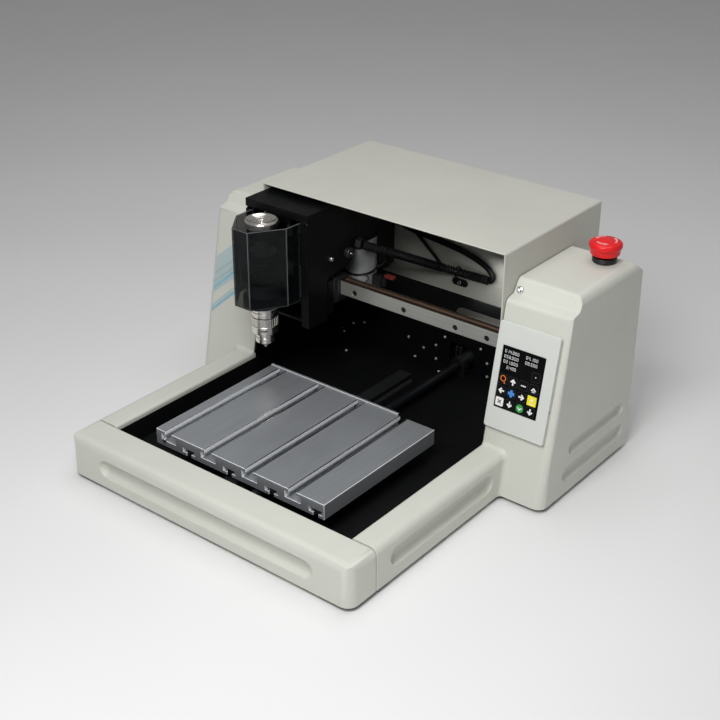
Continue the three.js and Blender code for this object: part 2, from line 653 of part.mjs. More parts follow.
function spindleMotor() {
  const { x, y } = MOTOR;
  const can = rod("z", 22.5, 130, 217.7, x, y, 28);
  add("spindle_motor", cut(can, rod("z", 4.4, 208, 219, x, y, 16)), greyMotor);
  const barrel = rod("z", MOTOR_PULLEY_R, 229, 244, x, y);
  add("motor_pulley", join(barrel, rod("z", 4, 209, 230, x, y, 16)), aluminium);
}

// The loop that a belt of the given stand-off makes round the two pulleys.
function beltLoop(off) {
  const from = new THREE.Vector2(SPINDLE.x, SPINDLE.y);
  const to = new THREE.Vector2(MOTOR.x, MOTOR.y);
  const along = to.clone().sub(from);
  const heading = along.angle();
  const lean = Math.acos((SPINDLE_PULLEY_R - MOTOR_PULLEY_R) / along.length());
  const steps = 12;
  const points = [];
  const arc = (centre, radius, start, end) => {
    for (let k = 0; k <= steps; k += 1) {
      const turn = start + ((end - start) * k) / steps;
      points.push([centre.x + radius * Math.cos(turn), centre.y + radius * Math.sin(turn)]);
    }
  };
  arc(to, MOTOR_PULLEY_R + off, heading - lean, heading + lean);
  arc(from, SPINDLE_PULLEY_R + off, heading + lean, heading - lean + 2 * Math.PI);
  return points;
}

function belt() {
  const slack = 0.6;
  const loop = prism("z", beltLoop(slack + BELT_THICK), ...BELT_Z, [beltLoop(slack)]);
  add("spindle_belt", loop, rubber);
}

// ---------- controls ----------
function controlPad() {
  const slope = Math.atan(faceLean());
  const pad = new THREE.Group();
  pad.position.set(0, COLUMN_FOOT_Y, 0);
  pad.rotation.x = -slope;
  machine.add(pad);
  const sheet = [[195.2, 86.7, 3], [280.5, 86.7, 3], [280.5, 224.4, 3], [195.2, 224.4, 3]];
  const panel = prism("y", sheet, -6.3, -GAP);
  const window = box(204.5, 265.5, -10, -4.2, 114.6, 195.3);
  add("control_panel", cut(panel, window), cover, pad);
  add("control_screen", box(204.9, 265.1, -6, -4.5, 115, 194.9), glossBlack, pad);
}

function emergencyStop() {
  const { x, y } = ESTOP;
  const body = [[0, 226], [10.8, 226], [10.8, 265.2], [15.5, 265.4], [15.5, 272], [6.6, 272], [6.6, 236],
    [0, 236]];
  add("estop_collar", turnedPiece(body, x, y, 28), blackPlastic);
  const head = [[0, 242], [6, 242], [6, 277.5], [15.9, 277.5], [15.9, 275.8], [18.2, 275.8], [19.2, 283.2],
    [21, 286], [21, 289.4], [19.2, 291.6], [14, 293.1], [0, 294]];
  add("estop_head", turnedPiece(head, x, y, 32), red);
}

function power() {
  const inlet = cut(
    box(-131.3, -102.7, 540, DEPTH - 0.4, 28.7, 51.3),
    box(-128.5, -105.5, DEPTH - 14, DEPTH + 1, 31.5, 48.5),
  );
  add("power_inlet", inlet, blackPlastic);
  const rocker = prism("x", [[DEPTH - 12, 40], [DEPTH - 1.5, 32.2], [DEPTH - 0.6, 33.4], [DEPTH - 1.6, 40],
    [DEPTH - 0.3, 47.8], [DEPTH - 3, 47.8]], -86, -74);
  add("power_rocker", rocker, blackPlastic);
  add("power_supply", box(-180, -145, 522, 562, FLOOR_TOP + GAP, 120), aluminium);
  add("controller_box", box(-188, -140, 523, 563, 128, 234), blackPlastic);
}

// ---------- cable to the head ----------
function tube(points, radius, steps) {
  const knots = points.map((point) => new THREE.Vector3(...point));
  const route = new THREE.CatmullRomCurve3(knots, false, "centripetal");
  const circle = new THREE.Shape();
  circle.absarc(0, 0, radius, 0, Math.PI * 2);
  const sides = 2; // per quarter turn of the section
  const shape = new THREE.Shape(circle.getPoints(sides * 4).slice(0, -1));
  return new THREE.ExtrudeGeometry(shape, { steps, extrudePath: route, bevelEnabled: false });
}

function cables() {
  const route = [[-76, 403, 225], [-69, 426, 213], [-61, 460, 196], [-53, 508, 171], [-35, 545, 152],
    [2, 556, 147], [33, 557, 147]];
  add("conduit", tube(route, 6.5, 24), blackPlastic);
  const loop = [[34.2, 557, 147], [36.6, 557, 147.6], [39.5, 557, 151], [39.5, 557, 156.5],
    [35.5, 557, 161.5], [27, 558, 166.8], [10, 558, 173.8], [-19, 558, 180.6], [-58, 558, 185.6],
    [-97, 558, 189.5], [-139, 558, 198]];
  add("cable_loop", tube(loop, 4.2, 36), rubber);
}

basePan();
feet();
frontCover();
sideCover("side_cover_right", false);
sideCover("side_cover_left", true);
hood();
rearPanel();
backPlate();
gantryPlate("gantry_plate_left", -1);
gantryPlate("gantry_plate_right", 1);
crossRail();
crossDrive();
tableDrive();
table();
carriage();
headHousing();
headFloor();
verticalDrive();
guard();
spindleSlide();
spindle();
depthRing();
rotor();
spindleMotor();
belt();
controlPad();
emergencyStop();
power();
cables();

export default machine;
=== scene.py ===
"""Looks of a desktop CNC router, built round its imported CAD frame. Metres, +Z up, +Y to the back."""

import json
import math

import bmesh
import bpy
from mathutils import Matrix, Vector

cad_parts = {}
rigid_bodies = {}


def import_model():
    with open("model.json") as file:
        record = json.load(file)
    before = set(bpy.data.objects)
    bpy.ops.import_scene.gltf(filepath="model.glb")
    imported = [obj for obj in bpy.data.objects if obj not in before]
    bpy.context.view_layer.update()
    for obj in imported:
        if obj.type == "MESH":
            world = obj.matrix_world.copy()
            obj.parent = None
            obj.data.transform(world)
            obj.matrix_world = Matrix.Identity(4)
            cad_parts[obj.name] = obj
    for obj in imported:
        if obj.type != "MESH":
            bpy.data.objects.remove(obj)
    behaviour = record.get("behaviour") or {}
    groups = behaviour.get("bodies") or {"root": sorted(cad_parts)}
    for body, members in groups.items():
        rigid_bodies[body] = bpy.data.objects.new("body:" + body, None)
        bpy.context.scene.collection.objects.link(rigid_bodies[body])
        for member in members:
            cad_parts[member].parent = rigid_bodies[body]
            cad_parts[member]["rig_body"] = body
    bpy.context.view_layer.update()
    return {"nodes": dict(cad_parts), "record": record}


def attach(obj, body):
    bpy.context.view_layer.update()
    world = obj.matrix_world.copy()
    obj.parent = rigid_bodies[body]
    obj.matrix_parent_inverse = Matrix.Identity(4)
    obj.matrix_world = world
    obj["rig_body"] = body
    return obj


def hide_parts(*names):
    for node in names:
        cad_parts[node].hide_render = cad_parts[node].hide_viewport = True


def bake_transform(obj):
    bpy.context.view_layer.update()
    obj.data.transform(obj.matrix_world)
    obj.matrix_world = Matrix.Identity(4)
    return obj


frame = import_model()

MM = 0.001
# The machine drawing has y = 0 on the front face and z = 0 on the covers' lower edge.
DRAWING = Vector((0.0, -284.0, 6.0))
SLOTS = {part["node"]: part["material_slot"] for part in frame["record"]["subparts"]}

# Places of upright axes (x, y), then of the table screw's axis (x, z).
SPINDLE = (-137, 272)
MOTOR = (-106, 440)
ESTOP = (252, 478)
TABLE_SCREW = (31, 39)
LEDGE_BOLT = (202.6, 364.2, 252.4)
ARM_END = 47  # where the side covers' arms meet the front cover
SEAM = 1.0
BACK_PLATE_FACE = 506
WALL = 566  # the hood's back, inside
REAR_FACE = 568
WELL_FLOOR = 22
TABLE_TOP = 68
RAIL_FRONT = 371.4
RAIL_MIDDLE = 167.8
RAIL_HALF = 193.5
FACE_FOOT = 297  # where the columns' sloped face meets the covers' lower edge
FACE_LEAN = 48 / 244.5  # how far the face goes back for each millimetre it rises


def at(x, y, z):
    """A point of the machine drawing, in millimetres, as a point of the row frame, in metres."""
    return (Vector((x, y, z)) + DRAWING) * MM


def upright(u, v, w):
    """A point of an upright drawing seen from the front: u across, v up, w to the back."""
    return at(u, w, v)


def crosswise(u, v, w):
    """A point of an upright drawing seen from the side: u to the back, v up, w across."""
    return at(w, u, v)


# ---------- materials ----------
class Shade:
    """A Principled material with helpers for procedural colour, roughness and bump."""

    def __init__(self, name, color, roughness, metallic=0.0):
        self.material = bpy.data.materials.new(name)
        self.material.use_nodes = True
        self.tree = self.material.node_tree
        self.bsdf = self.tree.nodes["Principled BSDF"]
        self.bsdf.inputs["Base Color"].default_value = (*color, 1)
        self.bsdf.inputs["Roughness"].default_value = roughness
        self.bsdf.inputs["Metallic"].default_value = metallic
        self.place = self.tree.nodes.new("ShaderNodeTexCoord").outputs["Object"]
        self.last_bump = None

    def set(self, **values):
        for key, value in values.items():
            self.bsdf.inputs[key.replace("_", " ")].default_value = value
        return self

    def noise(self, scale, detail=3.0, stretch=(1, 1, 1)):
        mapping = self.tree.nodes.new("ShaderNodeMapping")
        mapping.inputs["Scale"].default_value = stretch
        noise = self.tree.nodes.new("ShaderNodeTexNoise")
        noise.inputs["Scale"].default_value = scale
        noise.inputs["Detail"].default_value = detail
        self.tree.links.new(self.place, mapping.inputs["Vector"])
        self.tree.links.new(mapping.outputs["Vector"], noise.inputs["Vector"])
        return noise.outputs["Fac"]

    def ramp(self, source, stops):
        ramp = self.tree.nodes.new("ShaderNodeValToRGB")
        ramp.color_ramp.elements[0].position = stops[0][0]
        ramp.color_ramp.elements[0].color = (*stops[0][1], 1)
        ramp.color_ramp.elements[1].position = stops[-1][0]
        ramp.color_ramp.elements[1].color = (*stops[-1][1], 1)
        for place, color in stops[1:-1]:
            ramp.color_ramp.elements.new(place).color = (*color, 1)
        self.tree.links.new(source, ramp.inputs["Fac"])
        return ramp.outputs["Color"]

    def mottle(self, source, low, high, start=0.3, end=0.7):
        """Base colour that wanders between two colours."""
        self.tree.links.new(self.ramp(source, [(start, low), (end, high)]), self.bsdf.inputs["Base Color"])
        return self

    def rough(self, source, low, high):
        spread = self.tree.nodes.new("ShaderNodeMapRange")
        spread.inputs["From Min"].default_value = 0.3
        spread.inputs["From Max"].default_value = 0.7
        spread.inputs["To Min"].default_value = low
        spread.inputs["To Max"].default_value = high
        self.tree.links.new(source, spread.inputs["Value"])
        self.tree.links.new(spread.outputs["Result"], self.bsdf.inputs["Roughness"])
        return self

    def bump(self, source, strength, distance):
        bump = self.tree.nodes.new("ShaderNodeBump")
        bump.inputs["Strength"].default_value = strength
        bump.inputs["Distance"].default_value = distance
        self.tree.links.new(source, bump.inputs["Height"])
        if self.last_bump:
            self.tree.links.new(self.last_bump, bump.inputs["Normal"])
        self.last_bump = bump.outputs["Normal"]
        self.tree.links.new(self.last_bump, self.bsdf.inputs["Normal"])
        return self


def moulded(name, color, grain):
    """Fine-textured moulding or paint, with a faint drift in its colour and gloss."""
    shade = Shade(name, color, 0.5)
    low = tuple(c * 0.965 for c in color)
    high = tuple(min(1.0, c * 1.02) for c in color)
    shade.mottle(shade.noise(9, 4), low, high)
    shade.rough(shade.noise(60, 3), 0.46, 0.6)
    shade.bump(shade.noise(grain, 2), 0.22, 0.00012)
    shade.bump(shade.noise(40, 2), 0.05, 0.0004)
    return shade.material


def powder_black(name, dark, light, grain, roughness):
    """Matte powder coat: dark, with the fine light specks of its texture."""
    shade = Shade(name, dark, roughness)
    shade.mottle(shade.noise(grain, 3), dark, light, 0.45, 0.75)
    shade.rough(shade.noise(30, 3), roughness - 0.06, roughness + 0.08)
    shade.bump(shade.noise(grain, 2), 0.3, 0.00015)
    shade.set(Specular_IOR_Level=0.14)
    return shade.material


def drawn_metal(name, low, high, roughness, stretch, metallic=1.0):
    """Extruded or ground metal: streaks along one direction, faint handling marks."""
    shade = Shade(name, low, roughness, metallic)
    streaks = shade.noise(900, 4, stretch)
    shade.mottle(streaks, low, high, 0.3, 0.7)
    shade.rough(shade.noise(35, 5), roughness - 0.03, roughness + 0.04)
    shade.bump(streaks, 0.06, 0.00003)
    return shade.material


def plain_plastic(name, color, roughness, grain=1500, gloss=0.5):
    shade = Shade(name, color, roughness)
    shade.set(Specular_IOR_Level=gloss)
    shade.mottle(shade.noise(50, 4), tuple(c * 0.8 for c in color), tuple(c * 1.25 for c in color))
    shade.rough(shade.noise(80, 3), max(0.05, roughness - 0.08), roughness + 0.08)
    shade.bump(shade.noise(grain, 2), 0.1, 0.0001)
    return shade.material


def smoked():
    """Dark see-through sheet."""
    shade = Shade("smoked_plastic", (0.004, 0.0046, 0.0052), 0.06)
    shade.set(Alpha=0.66, Specular_IOR_Level=0.15)
    shade.rough(shade.noise(25, 2), 0.04, 0.09)
    return shade.material


def printed(name, color, gloss=0.5):
    """A printed or lit graphic under a clear film."""
    shade = Shade(name, color, 0.3)
    shade.set(Specular_IOR_Level=gloss)
    shade.mottle(shade.noise(300, 2), tuple(c * 0.9 for c in color), color)
    return shade.material


def deep_black():
    shade = Shade("screen_film", (0.002, 0.002, 0.0024), 0.35)
    shade.mottle(shade.noise(50, 2), (0.0015, 0.0015, 0.0018), (0.0026, 0.0026, 0.003))
    shade.set(Specular_IOR_Level=0.08)
    return shade.material


EVEN = (1, 1, 1)
ALONG_Y = (1, 0.012, 1)
ALONG_X = (0.012, 1, 1)
ALONG_Z = (1, 1, 0.012)

LOOKS = {
    "cover": moulded("cover_moulding", (0.60, 0.605, 0.545), 1700),
    "hood_paint": moulded("hood_paint", (0.545, 0.545, 0.49), 1100),
    "black_metal": powder_black("black_powder_coat", (0.0016, 0.0018, 0.002), (0.007, 0.0076, 0.0082), 1500,
                                0.46),
    "black_plastic": plain_plastic("black_plastic", (0.009, 0.009, 0.010), 0.4),
    "rubber": plain_plastic("rubber", (0.005, 0.0052, 0.0056), 0.5, 900, 0.25),
    "aluminium": drawn_metal("aluminium_extrusion", (0.30, 0.315, 0.335), (0.36, 0.375, 0.395), 0.4,
                             ALONG_Y, 0.55),
    "steel": drawn_metal("ground_steel", (0.52, 0.51, 0.47), (0.64, 0.63, 0.59), 0.34, ALONG_X, 0.8),
    "chrome": drawn_metal("chrome", (0.68, 0.65, 0.60), (0.82, 0.79, 0.74), 0.2, EVEN),
    "brass": drawn_metal("brass", (0.55, 0.40, 0.19), (0.68, 0.52, 0.28), 0.32, ALONG_X),
    "red": plain_plastic("red_plastic", (0.74, 0.010, 0.014), 0.3, 1200, 0.35),
    "smoke": smoked(),
    "screen": deep_black(),
    "motor_grey": drawn_metal("motor_can", (0.40, 0.41, 0.42), (0.52, 0.53, 0.54), 0.4, ALONG_Z, 0.5),
}
FLOOR_BLACK = powder_black("well_powder_coat", (0.0014, 0.0015, 0.0017), (0.012, 0.0128, 0.014), 1100, 0.58)
# Painted highlight: a pale, non-metal finish for the table's slot walls and bevelled edges, standing for the
# light they catch.
TABLE_PAINTED_HIGHLIGHT = drawn_metal("table_painted_highlight", (0.80, 0.83, 0.86), (0.90, 0.92, 0.94), 0.35, ALONG_Y, 0.0)
# Bright metal for screws, pins and the wiper; the table's slot lips also use it as a painted highlight.
BRIGHT_METAL_AND_HIGHLIGHT = drawn_metal("bright_screw_and_painted_highlight", (0.62, 0.62, 0.62), (0.8, 0.8, 0.79), 0.22, EVEN)
PALE_ZINC = drawn_metal("zinc_screw", (0.62, 0.62, 0.61), (0.8, 0.8, 0.79), 0.3, EVEN, 0.35)
# Painted reflection: brown for the rail's top, where it mirrors something brownish.
RAIL_TOP_PAINTED_REFLECTION = drawn_metal("rail_top_painted_reflection", (0.10, 0.062, 0.042), (0.20, 0.13, 0.092), 0.34, ALONG_X, 0.7)
CONDUIT = powder_black("conduit_plastic", (0.0025, 0.0026, 0.0028), (0.004, 0.0042, 0.0045), 900, 0.5)
# Painted highlight: the conduit's rib crests are lighter than its valleys; their gloss is real.
RIDGE_PAINTED_HIGHLIGHT = plain_plastic("conduit_ridge_painted_highlight", (0.04, 0.042, 0.046), 0.2, gloss=1.0)
PLUG_RED = plain_plastic("plug_red", (0.16, 0.02, 0.02), 0.5)
# Painted highlight: a lighter rim on the guard's bevelled edges.
GUARD_RIM_PAINTED_HIGHLIGHT = plain_plastic("guard_rim_painted_highlight", (0.13, 0.14, 0.15), 0.3)
PANEL = moulded("panel_moulding", (0.64, 0.66, 0.625), 1700)
# Painted shade: near-black strips for the shade in the rail's raceway grooves.
RACE_PAINTED_SHADE = drawn_metal("race_painted_shade", (0.012, 0.010, 0.009), (0.045, 0.034, 0.028), 0.3, ALONG_X, 0.7)
DARK_STEEL = drawn_metal("dark_steel", (0.045, 0.048, 0.055), (0.09, 0.095, 0.105), 0.38, EVEN, 0.8)
BLUED = drawn_metal("blued_shaft", (0.010, 0.011, 0.013), (0.024, 0.026, 0.03), 0.4, EVEN, 0.6)
GREY_METAL = powder_black("grey_bracket", (0.010, 0.0105, 0.011), (0.026, 0.027, 0.029), 700, 0.42)


# ---------- geometry ----------
ON_AXIS = 1e-6  # a smaller radius than this is a point on the axis
HEAD_SIDES = 24  # round a screw's head


def own(piece, material, body, stands_for=()):
    """Hangs a finished piece on its CAD body and hides the CAD parts it stands for."""
    piece.data.materials.clear()
    piece.data.materials.append(material)
    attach(piece, body)
    if stands_for:
        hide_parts(*stands_for)
    return piece


def from_faces(name, verts, faces):
    """A new piece in the scene, made from its vertices and faces."""
    mesh = bpy.data.meshes.new(name)
    mesh.from_pydata([tuple(v) for v in verts], [], faces)
    mesh.update()
    piece = bpy.data.objects.new(name, mesh)
    bpy.context.scene.collection.objects.link(piece)
    return piece


def soften(piece, width, segments=2, angle=32):
    """Small real edges: a bevel on each sharp edge, with normals that keep the flats flat."""
    for face in piece.data.polygons:
        face.use_smooth = True
    if width:
        bevel = piece.modifiers.new("edges", "BEVEL")
        bevel.width = width * MM
        bevel.segments = segments
        bevel.limit_method = "ANGLE"
        bevel.angle_limit = math.radians(angle)
    else:
        piece.data.set_sharp_from_angle(angle=math.radians(angle))
    shading = piece.modifiers.new("shading", "WEIGHTED_NORMAL")
    shading.keep_sharp = True
    return piece


def refined(node, material=None, width=0.4, segments=2, angle=32, edge=None):
    """A CAD node's shape, triangles merged into faces, with bevelled edges, if wanted in another finish."""
    source = frame["nodes"][node]
    bm = bmesh.new()
    bm.from_mesh(source.data)
    bmesh.ops.remove_doubles(bm, verts=bm.verts, dist=3e-6)
    bmesh.ops.dissolve_limit(bm, angle_limit=math.radians(0.6), verts=bm.verts, edges=bm.edges)
    verts = [v.co.copy() for v in bm.verts]
    bm.verts.index_update()
    faces = [[v.index for v in face.verts] for face in bm.faces]
    bm.free()
    piece = from_faces("look_" + node, verts, faces)
    soften(piece, width, segments, angle)
    own(piece, material or LOOKS[SLOTS[node]], source["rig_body"], [node])
    # A given edge finish goes on the bevels: the painted highlights of the table and the guard.
    if edge:
        piece.data.materials.append(edge)
        piece.modifiers["edges"].material = 1
    return piece


def paint(piece, material, wanted):
    """Gives another finish to the faces whose middle (drawing mm) and outward direction are wanted."""
    piece.data.materials.append(material)
    index = len(piece.data.materials) - 1
    for face in piece.data.polygons:
        middle = face.center / MM - DRAWING
        if wanted(middle, face.normal):
            face.material_index = index
    return piece


def facing(axis):
    """The turn that takes straight up to the axis."""
    return Vector((0, 0, 1)).rotation_difference(Vector(axis)).to_matrix()


def skin(pairs, sides):
    """Faces between pairs of rings of vertices; a ring of one vertex is a point on the axis."""
    faces = []
    for low, high in pairs:
        for k in range(sides):
            n = (k + 1) % sides
            corner = [low[k % len(low)], low[n % len(low)], high[n % len(high)], high[k % len(high)]]
            corner = list(dict.fromkeys(corner))
            if len(corner) > 2:
                faces.append(corner)
    return faces


def lathe(name, profile, centre, material, body, stands_for=(), sides=72, width=0.25,
          axis=(0, 0, 1)):
    """A turned piece: the profile is a closed loop of [radius, height] in millimetres about the axis."""
    verts, rings = [], []
    for radius, height in profile:
        if radius < ON_AXIS:
            rings.append([len(verts)])
            verts.append(Vector((0, 0, height)))
            continue
        rings.append(list(range(len(verts), len(verts) + sides)))
        for k in range(sides):
            turn = 2 * math.pi * k / sides
            verts.append(Vector((radius * math.cos(turn), radius * math.sin(turn), height)))
    faces = skin(zip(rings, rings[1:] + rings[:1]), sides)
    swing = facing(axis)
    placed = [swing @ (v * MM) + at(*centre) for v in verts]
    piece = from_faces(name, placed, faces)
    outward(piece)
    soften(piece, width, 2, 28)
    return own(piece, material, body, stands_for)


def outward(piece):
    """Turns every face's normal to the outside."""
    bm = bmesh.new()
    bm.from_mesh(piece.data)
    bmesh.ops.recalc_face_normals(bm, faces=bm.faces)
    bm.to_mesh(piece.data)
    bm.free()


def slab(outline, low, high, place):
    """Verts and faces of an outline pulled from low to high; place turns (u, v, w) into a point."""
    count = len(outline)
    verts = [place(u, v, low) for u, v in outline] + [place(u, v, high) for u, v in outline]
    faces = [list(range(count))[::-1], list(range(count, 2 * count))]
    faces += [[k, (k + 1) % count, (k + 1) % count + count, k + count] for k in range(count)]
    return verts, faces


def slabs(name, outlines, low, high, place, material, body, width=0.1, stands_for=()):
    """Several outlines pulled to one height, as one piece."""
    verts, faces = [], []
    for outline in outlines:
        more, shapes = slab(outline, low, high, place)
        faces += [[index + len(verts) for index in face] for face in shapes]
        verts += more
    piece = from_faces(name, verts, faces)
    outward(piece)
    soften(piece, width, 2)
    return own(piece, material, body, stands_for)


def rounded(u0, u1, v0, v1, radius, steps=4):
    """A rectangle's outline with rounded corners."""
    points = []
    for cu, cv, start in [(u1 - radius, v1 - radius, 0), (u0 + radius, v1 - radius, 90),
                          (u0 + radius, v0 + radius, 180), (u1 - radius, v0 + radius, 270)]:
        for k in range(steps + 1):
            turn = math.radians(start + 90 * k / steps)
            points.append((cu + radius * math.cos(turn), cv + radius * math.sin(turn)))
    return points


def block(name, x, y, z, material, body, width=0.6, stands_for=()):
    """A small bevelled block between two places on each axis."""
    outline = [(x[0], y[0]), (x[1], y[0]), (x[1], y[1]), (x[0], y[1])]
    return slabs(name, [outline], z[0], z[1], at, material, body, width, stands_for)


def smooth_route(points, step):
    """Points every step millimetres along a smooth curve through the given ones."""
    knots = [Vector(p) for p in points]
    knots = [2 * knots[0] - knots[1]] + knots + [2 * knots[-1] - knots[-2]]
    route = []
    for before, start, end, after in zip(knots, knots[1:], knots[2:], knots[3:]):
        spans = [max(1e-6, (b - a).length) ** 0.5 for a, b in ((before, start), (start, end), (end, after))]
        m1 = (start - before) / spans[0] - (end - before) / (spans[0] + spans[1]) + (end - start) / spans[1]
        m2 = (end - start) / spans[1] - (after - start) / (spans[1] + spans[2]) + (after - end) / spans[2]
        m1, m2 = m1 * spans[1], m2 * spans[1]
        count = max(2, round((end - start).length / step))
        for k in range(count):
            t = k / count
            route.append((2 * t**3 - 3 * t**2 + 1) * start + (t**3 - 2 * t**2 + t) * m1
                         + (-2 * t**3 + 3 * t**2) * end + (t**3 - t**2) * m2)
    route.append(knots[-2])
    return route


def tube(name, route, radii, material, sides=20):
    """A closed tube along a route in drawing millimetres; radii gives the radius at each point."""
    verts, faces = [], []
    normal = Vector((0, 0, 1))
    for k, (point, radius) in enumerate(zip(route, radii)):
        ahead = (route[min(k + 1, len(route) - 1)] - route[max(k - 1, 0)]).normalized()
        normal = (normal - ahead * normal.dot(ahead)).normalized()
        side = ahead.cross(normal)
        for s in range(sides):
            turn = 2 * math.pi * s / sides
            spot = point + (normal * math.cos(turn) + side * math.sin(turn)) * radius
            verts.append(at(*spot))
    for k in range(len(route) - 1):
        for s in range(sides):
            n = (s + 1) % sides
            faces.append([k * sides + s, k * sides + n, (k + 1) * sides + n, (k + 1) * sides + s])
    faces.append(list(range(sides))[::-1])
    faces.append(list(range((len(route) - 1) * sides, len(route) * sides)))
    piece = from_faces(name, verts, faces)
    outward(piece)
    for face in piece.data.polygons:
        face.use_smooth = len(face.vertices) == 4
    piece.data.materials.append(material)
    return piece


def cord(name, route, radius, look, body, sides, stands_for=()):
    """A round cord of one thickness along a route."""
    piece = tube(name, route, [radius] * len(route), LOOKS[look], sides)
    return own(piece, LOOKS[look], body, stands_for)


def screw_heads(name, places, axis, radius, height, body, material=None):
    """Domed screw heads with a hexagon recess, all along one direction, as one piece."""
    profile = [(0, height * 0.45), (radius * 0.42, height * 0.45), (radius * 0.46, height),
               (radius * 0.8, height * 0.86), (radius, height * 0.35), (radius, -0.3), (0, -0.3)]
    swing = facing(axis)
    verts, faces = [], []
    for place in places:
        rings = []
        for k, (r, h) in enumerate(profile):
            if r < ON_AXIS:
                rings.append([len(verts)])
                verts.append(swing @ (Vector((0, 0, h)) * MM) + at(*place))
                continue
            rings.append(list(range(len(verts), len(verts) + HEAD_SIDES)))
            for s in range(HEAD_SIDES):
                turn = 2 * math.pi * s / HEAD_SIDES
                spread = r
                if k in (1, 2):  # the recess
                    wedge = (turn % (math.pi / 3)) - math.pi / 6
                    spread = r * math.cos(math.pi / 6) / math.cos(wedge)
                spot = Vector((spread * math.cos(turn), spread * math.sin(turn), h)) * MM
                verts.append(swing @ spot + at(*place))
        faces += skin(zip(rings, rings[1:]), HEAD_SIDES)
    piece = from_faces(name, verts, faces)
    outward(piece)
    soften(piece, 0, angle=35)
    return own(piece, material or BRIGHT_METAL_AND_HIGHLIGHT, body)


# ---------- covers, hood and well ----------
def covers():
    """Side and front covers, hood and the control pad's plate, with the bolts on the ledges."""
    for node in ("side_cover_left", "side_cover_right", "front_cover"):
        cover = refined(node, width=0.7, segments=3, angle=50)
        cover.modifiers["edges"].use_clamp_overlap = False
        if node != "front_cover":
            open_seam(cover)
    refined("control_panel", PANEL, width=1.5, segments=3)
    refined("hood", width=1.0, segments=3)
    for sign, name in ((1, "right"), (-1, "left")):
        axis = (0, -0.9, 0.44)
        place = (sign * LEDGE_BOLT[0], *LEDGE_BOLT[1:])
        screw_heads("ledge_bolt_" + name, [place], axis, 4.9, 4.2, "root")
        lathe("ledge_washer_" + name, [(0, -0.6), (7, -0.6), (7, 0.7), (0, 0.7)], place, LOOKS["cover"],
              "root", axis=axis, width=0.3)


def open_seam(cover):
    """Sets the arm's front end back a little, which opens its joint with the front cover."""
    for vertex in cover.data.vertices:
        if abs(vertex.co.y / MM - DRAWING.y - ARM_END) < 0.1:
            vertex.co.y += SEAM * MM


def hood_fold():
    """The folded strip along the inside of the hood's back."""
    block("hood_inner_fold", (-191.6, 191.6), (WALL - 1.1, WALL - 0.1), (62.5, 138.4), LOOKS["hood_paint"],
          "root", 0.2)


def decal():
    """Plain curved bands printed on the left column's sloped face."""
    left, right, steps = -282, -198, 24

    def on_face(u, v, w):
        return at(u, FACE_FOOT + FACE_LEAN * v - w, v)

    def band(start, rise, sag, width, taper):
        edge_low, edge_high = [], []
        for k in range(steps + 1):
            t = k / steps
            x = left + (right - left) * t
            z = start + rise * t - sag * math.sin(math.pi * t)
            half = width / 2 * (1 - taper * (1 - t))
            edge_low.append((x, z - half))
            edge_high.append((x, z + half))
        return edge_low + edge_high[::-1]

    wash = printed("pale_band", (0.44, 0.54, 0.55))
    blue = printed("blue_band", (0.25, 0.48, 0.60))
    green = printed("grey_green_band", (0.33, 0.43, 0.40))
    slabs("band_wash", [band(149, 64, -3, 58, 0.1), band(102, 68, -3, 12, 0.4)], 0.12, 0.22, on_face, wash,
          "root", 0)
    slabs("band_blue", [band(130, 68, -3, 7, 0.4), band(97, 70, -3, 5, 0.2)], 0.24, 0.32, on_face, blue,
          "root", 0)
    slabs("band_green", [band(152, 60, -3, 2.4, 0.3), band(139, 64, -3, 2, 0.3)], 0.34, 0.4, on_face, green,
          "root", 0)


def well():
    """Everything black round the table: pan, back plate, gantry plates, and their screws."""
    refined("base_pan", FLOOR_BLACK, 0.5)
    refined("back_plate", FLOOR_BLACK, 0.4)
    for node in ("gantry_plate_left", "gantry_plate_right", "x_beam", "rear_panel"):
        refined(node, width=0.5)
    for node in ("foot_front_left", "foot_front_right", "foot_rear_left", "foot_rear_right"):
        refined(node, width=0.8)
    plate = [(-171.9, 36.5), (-151.1, 44.2), (-68, 46.2), (-40.4, 37.4), (-18.7, 48.5), (-3.4, 66.4),
             (-17.9, 26.6), (58.4, 66.7), (70.1, 47.4), (71.2, 26.8)]
    plate_screws = [(x, BACK_PLATE_FACE, z) for x, z in plate]
    screw_heads("back_plate_screws", plate_screws, (0, -1, 0), 2.0, 1.5, "root", PALE_ZINC)
    floor = [(-141.3, 450.3), (-51.1, 499.5), (3.6, 483.1), (-35.2, 422), (-183, 497)]
    floor_screws = [(x, y, WELL_FLOOR) for x, y in floor]
    screw_heads("well_floor_screws", floor_screws, (0, 0, 1), 2.1, 1.4, "root", PALE_ZINC)


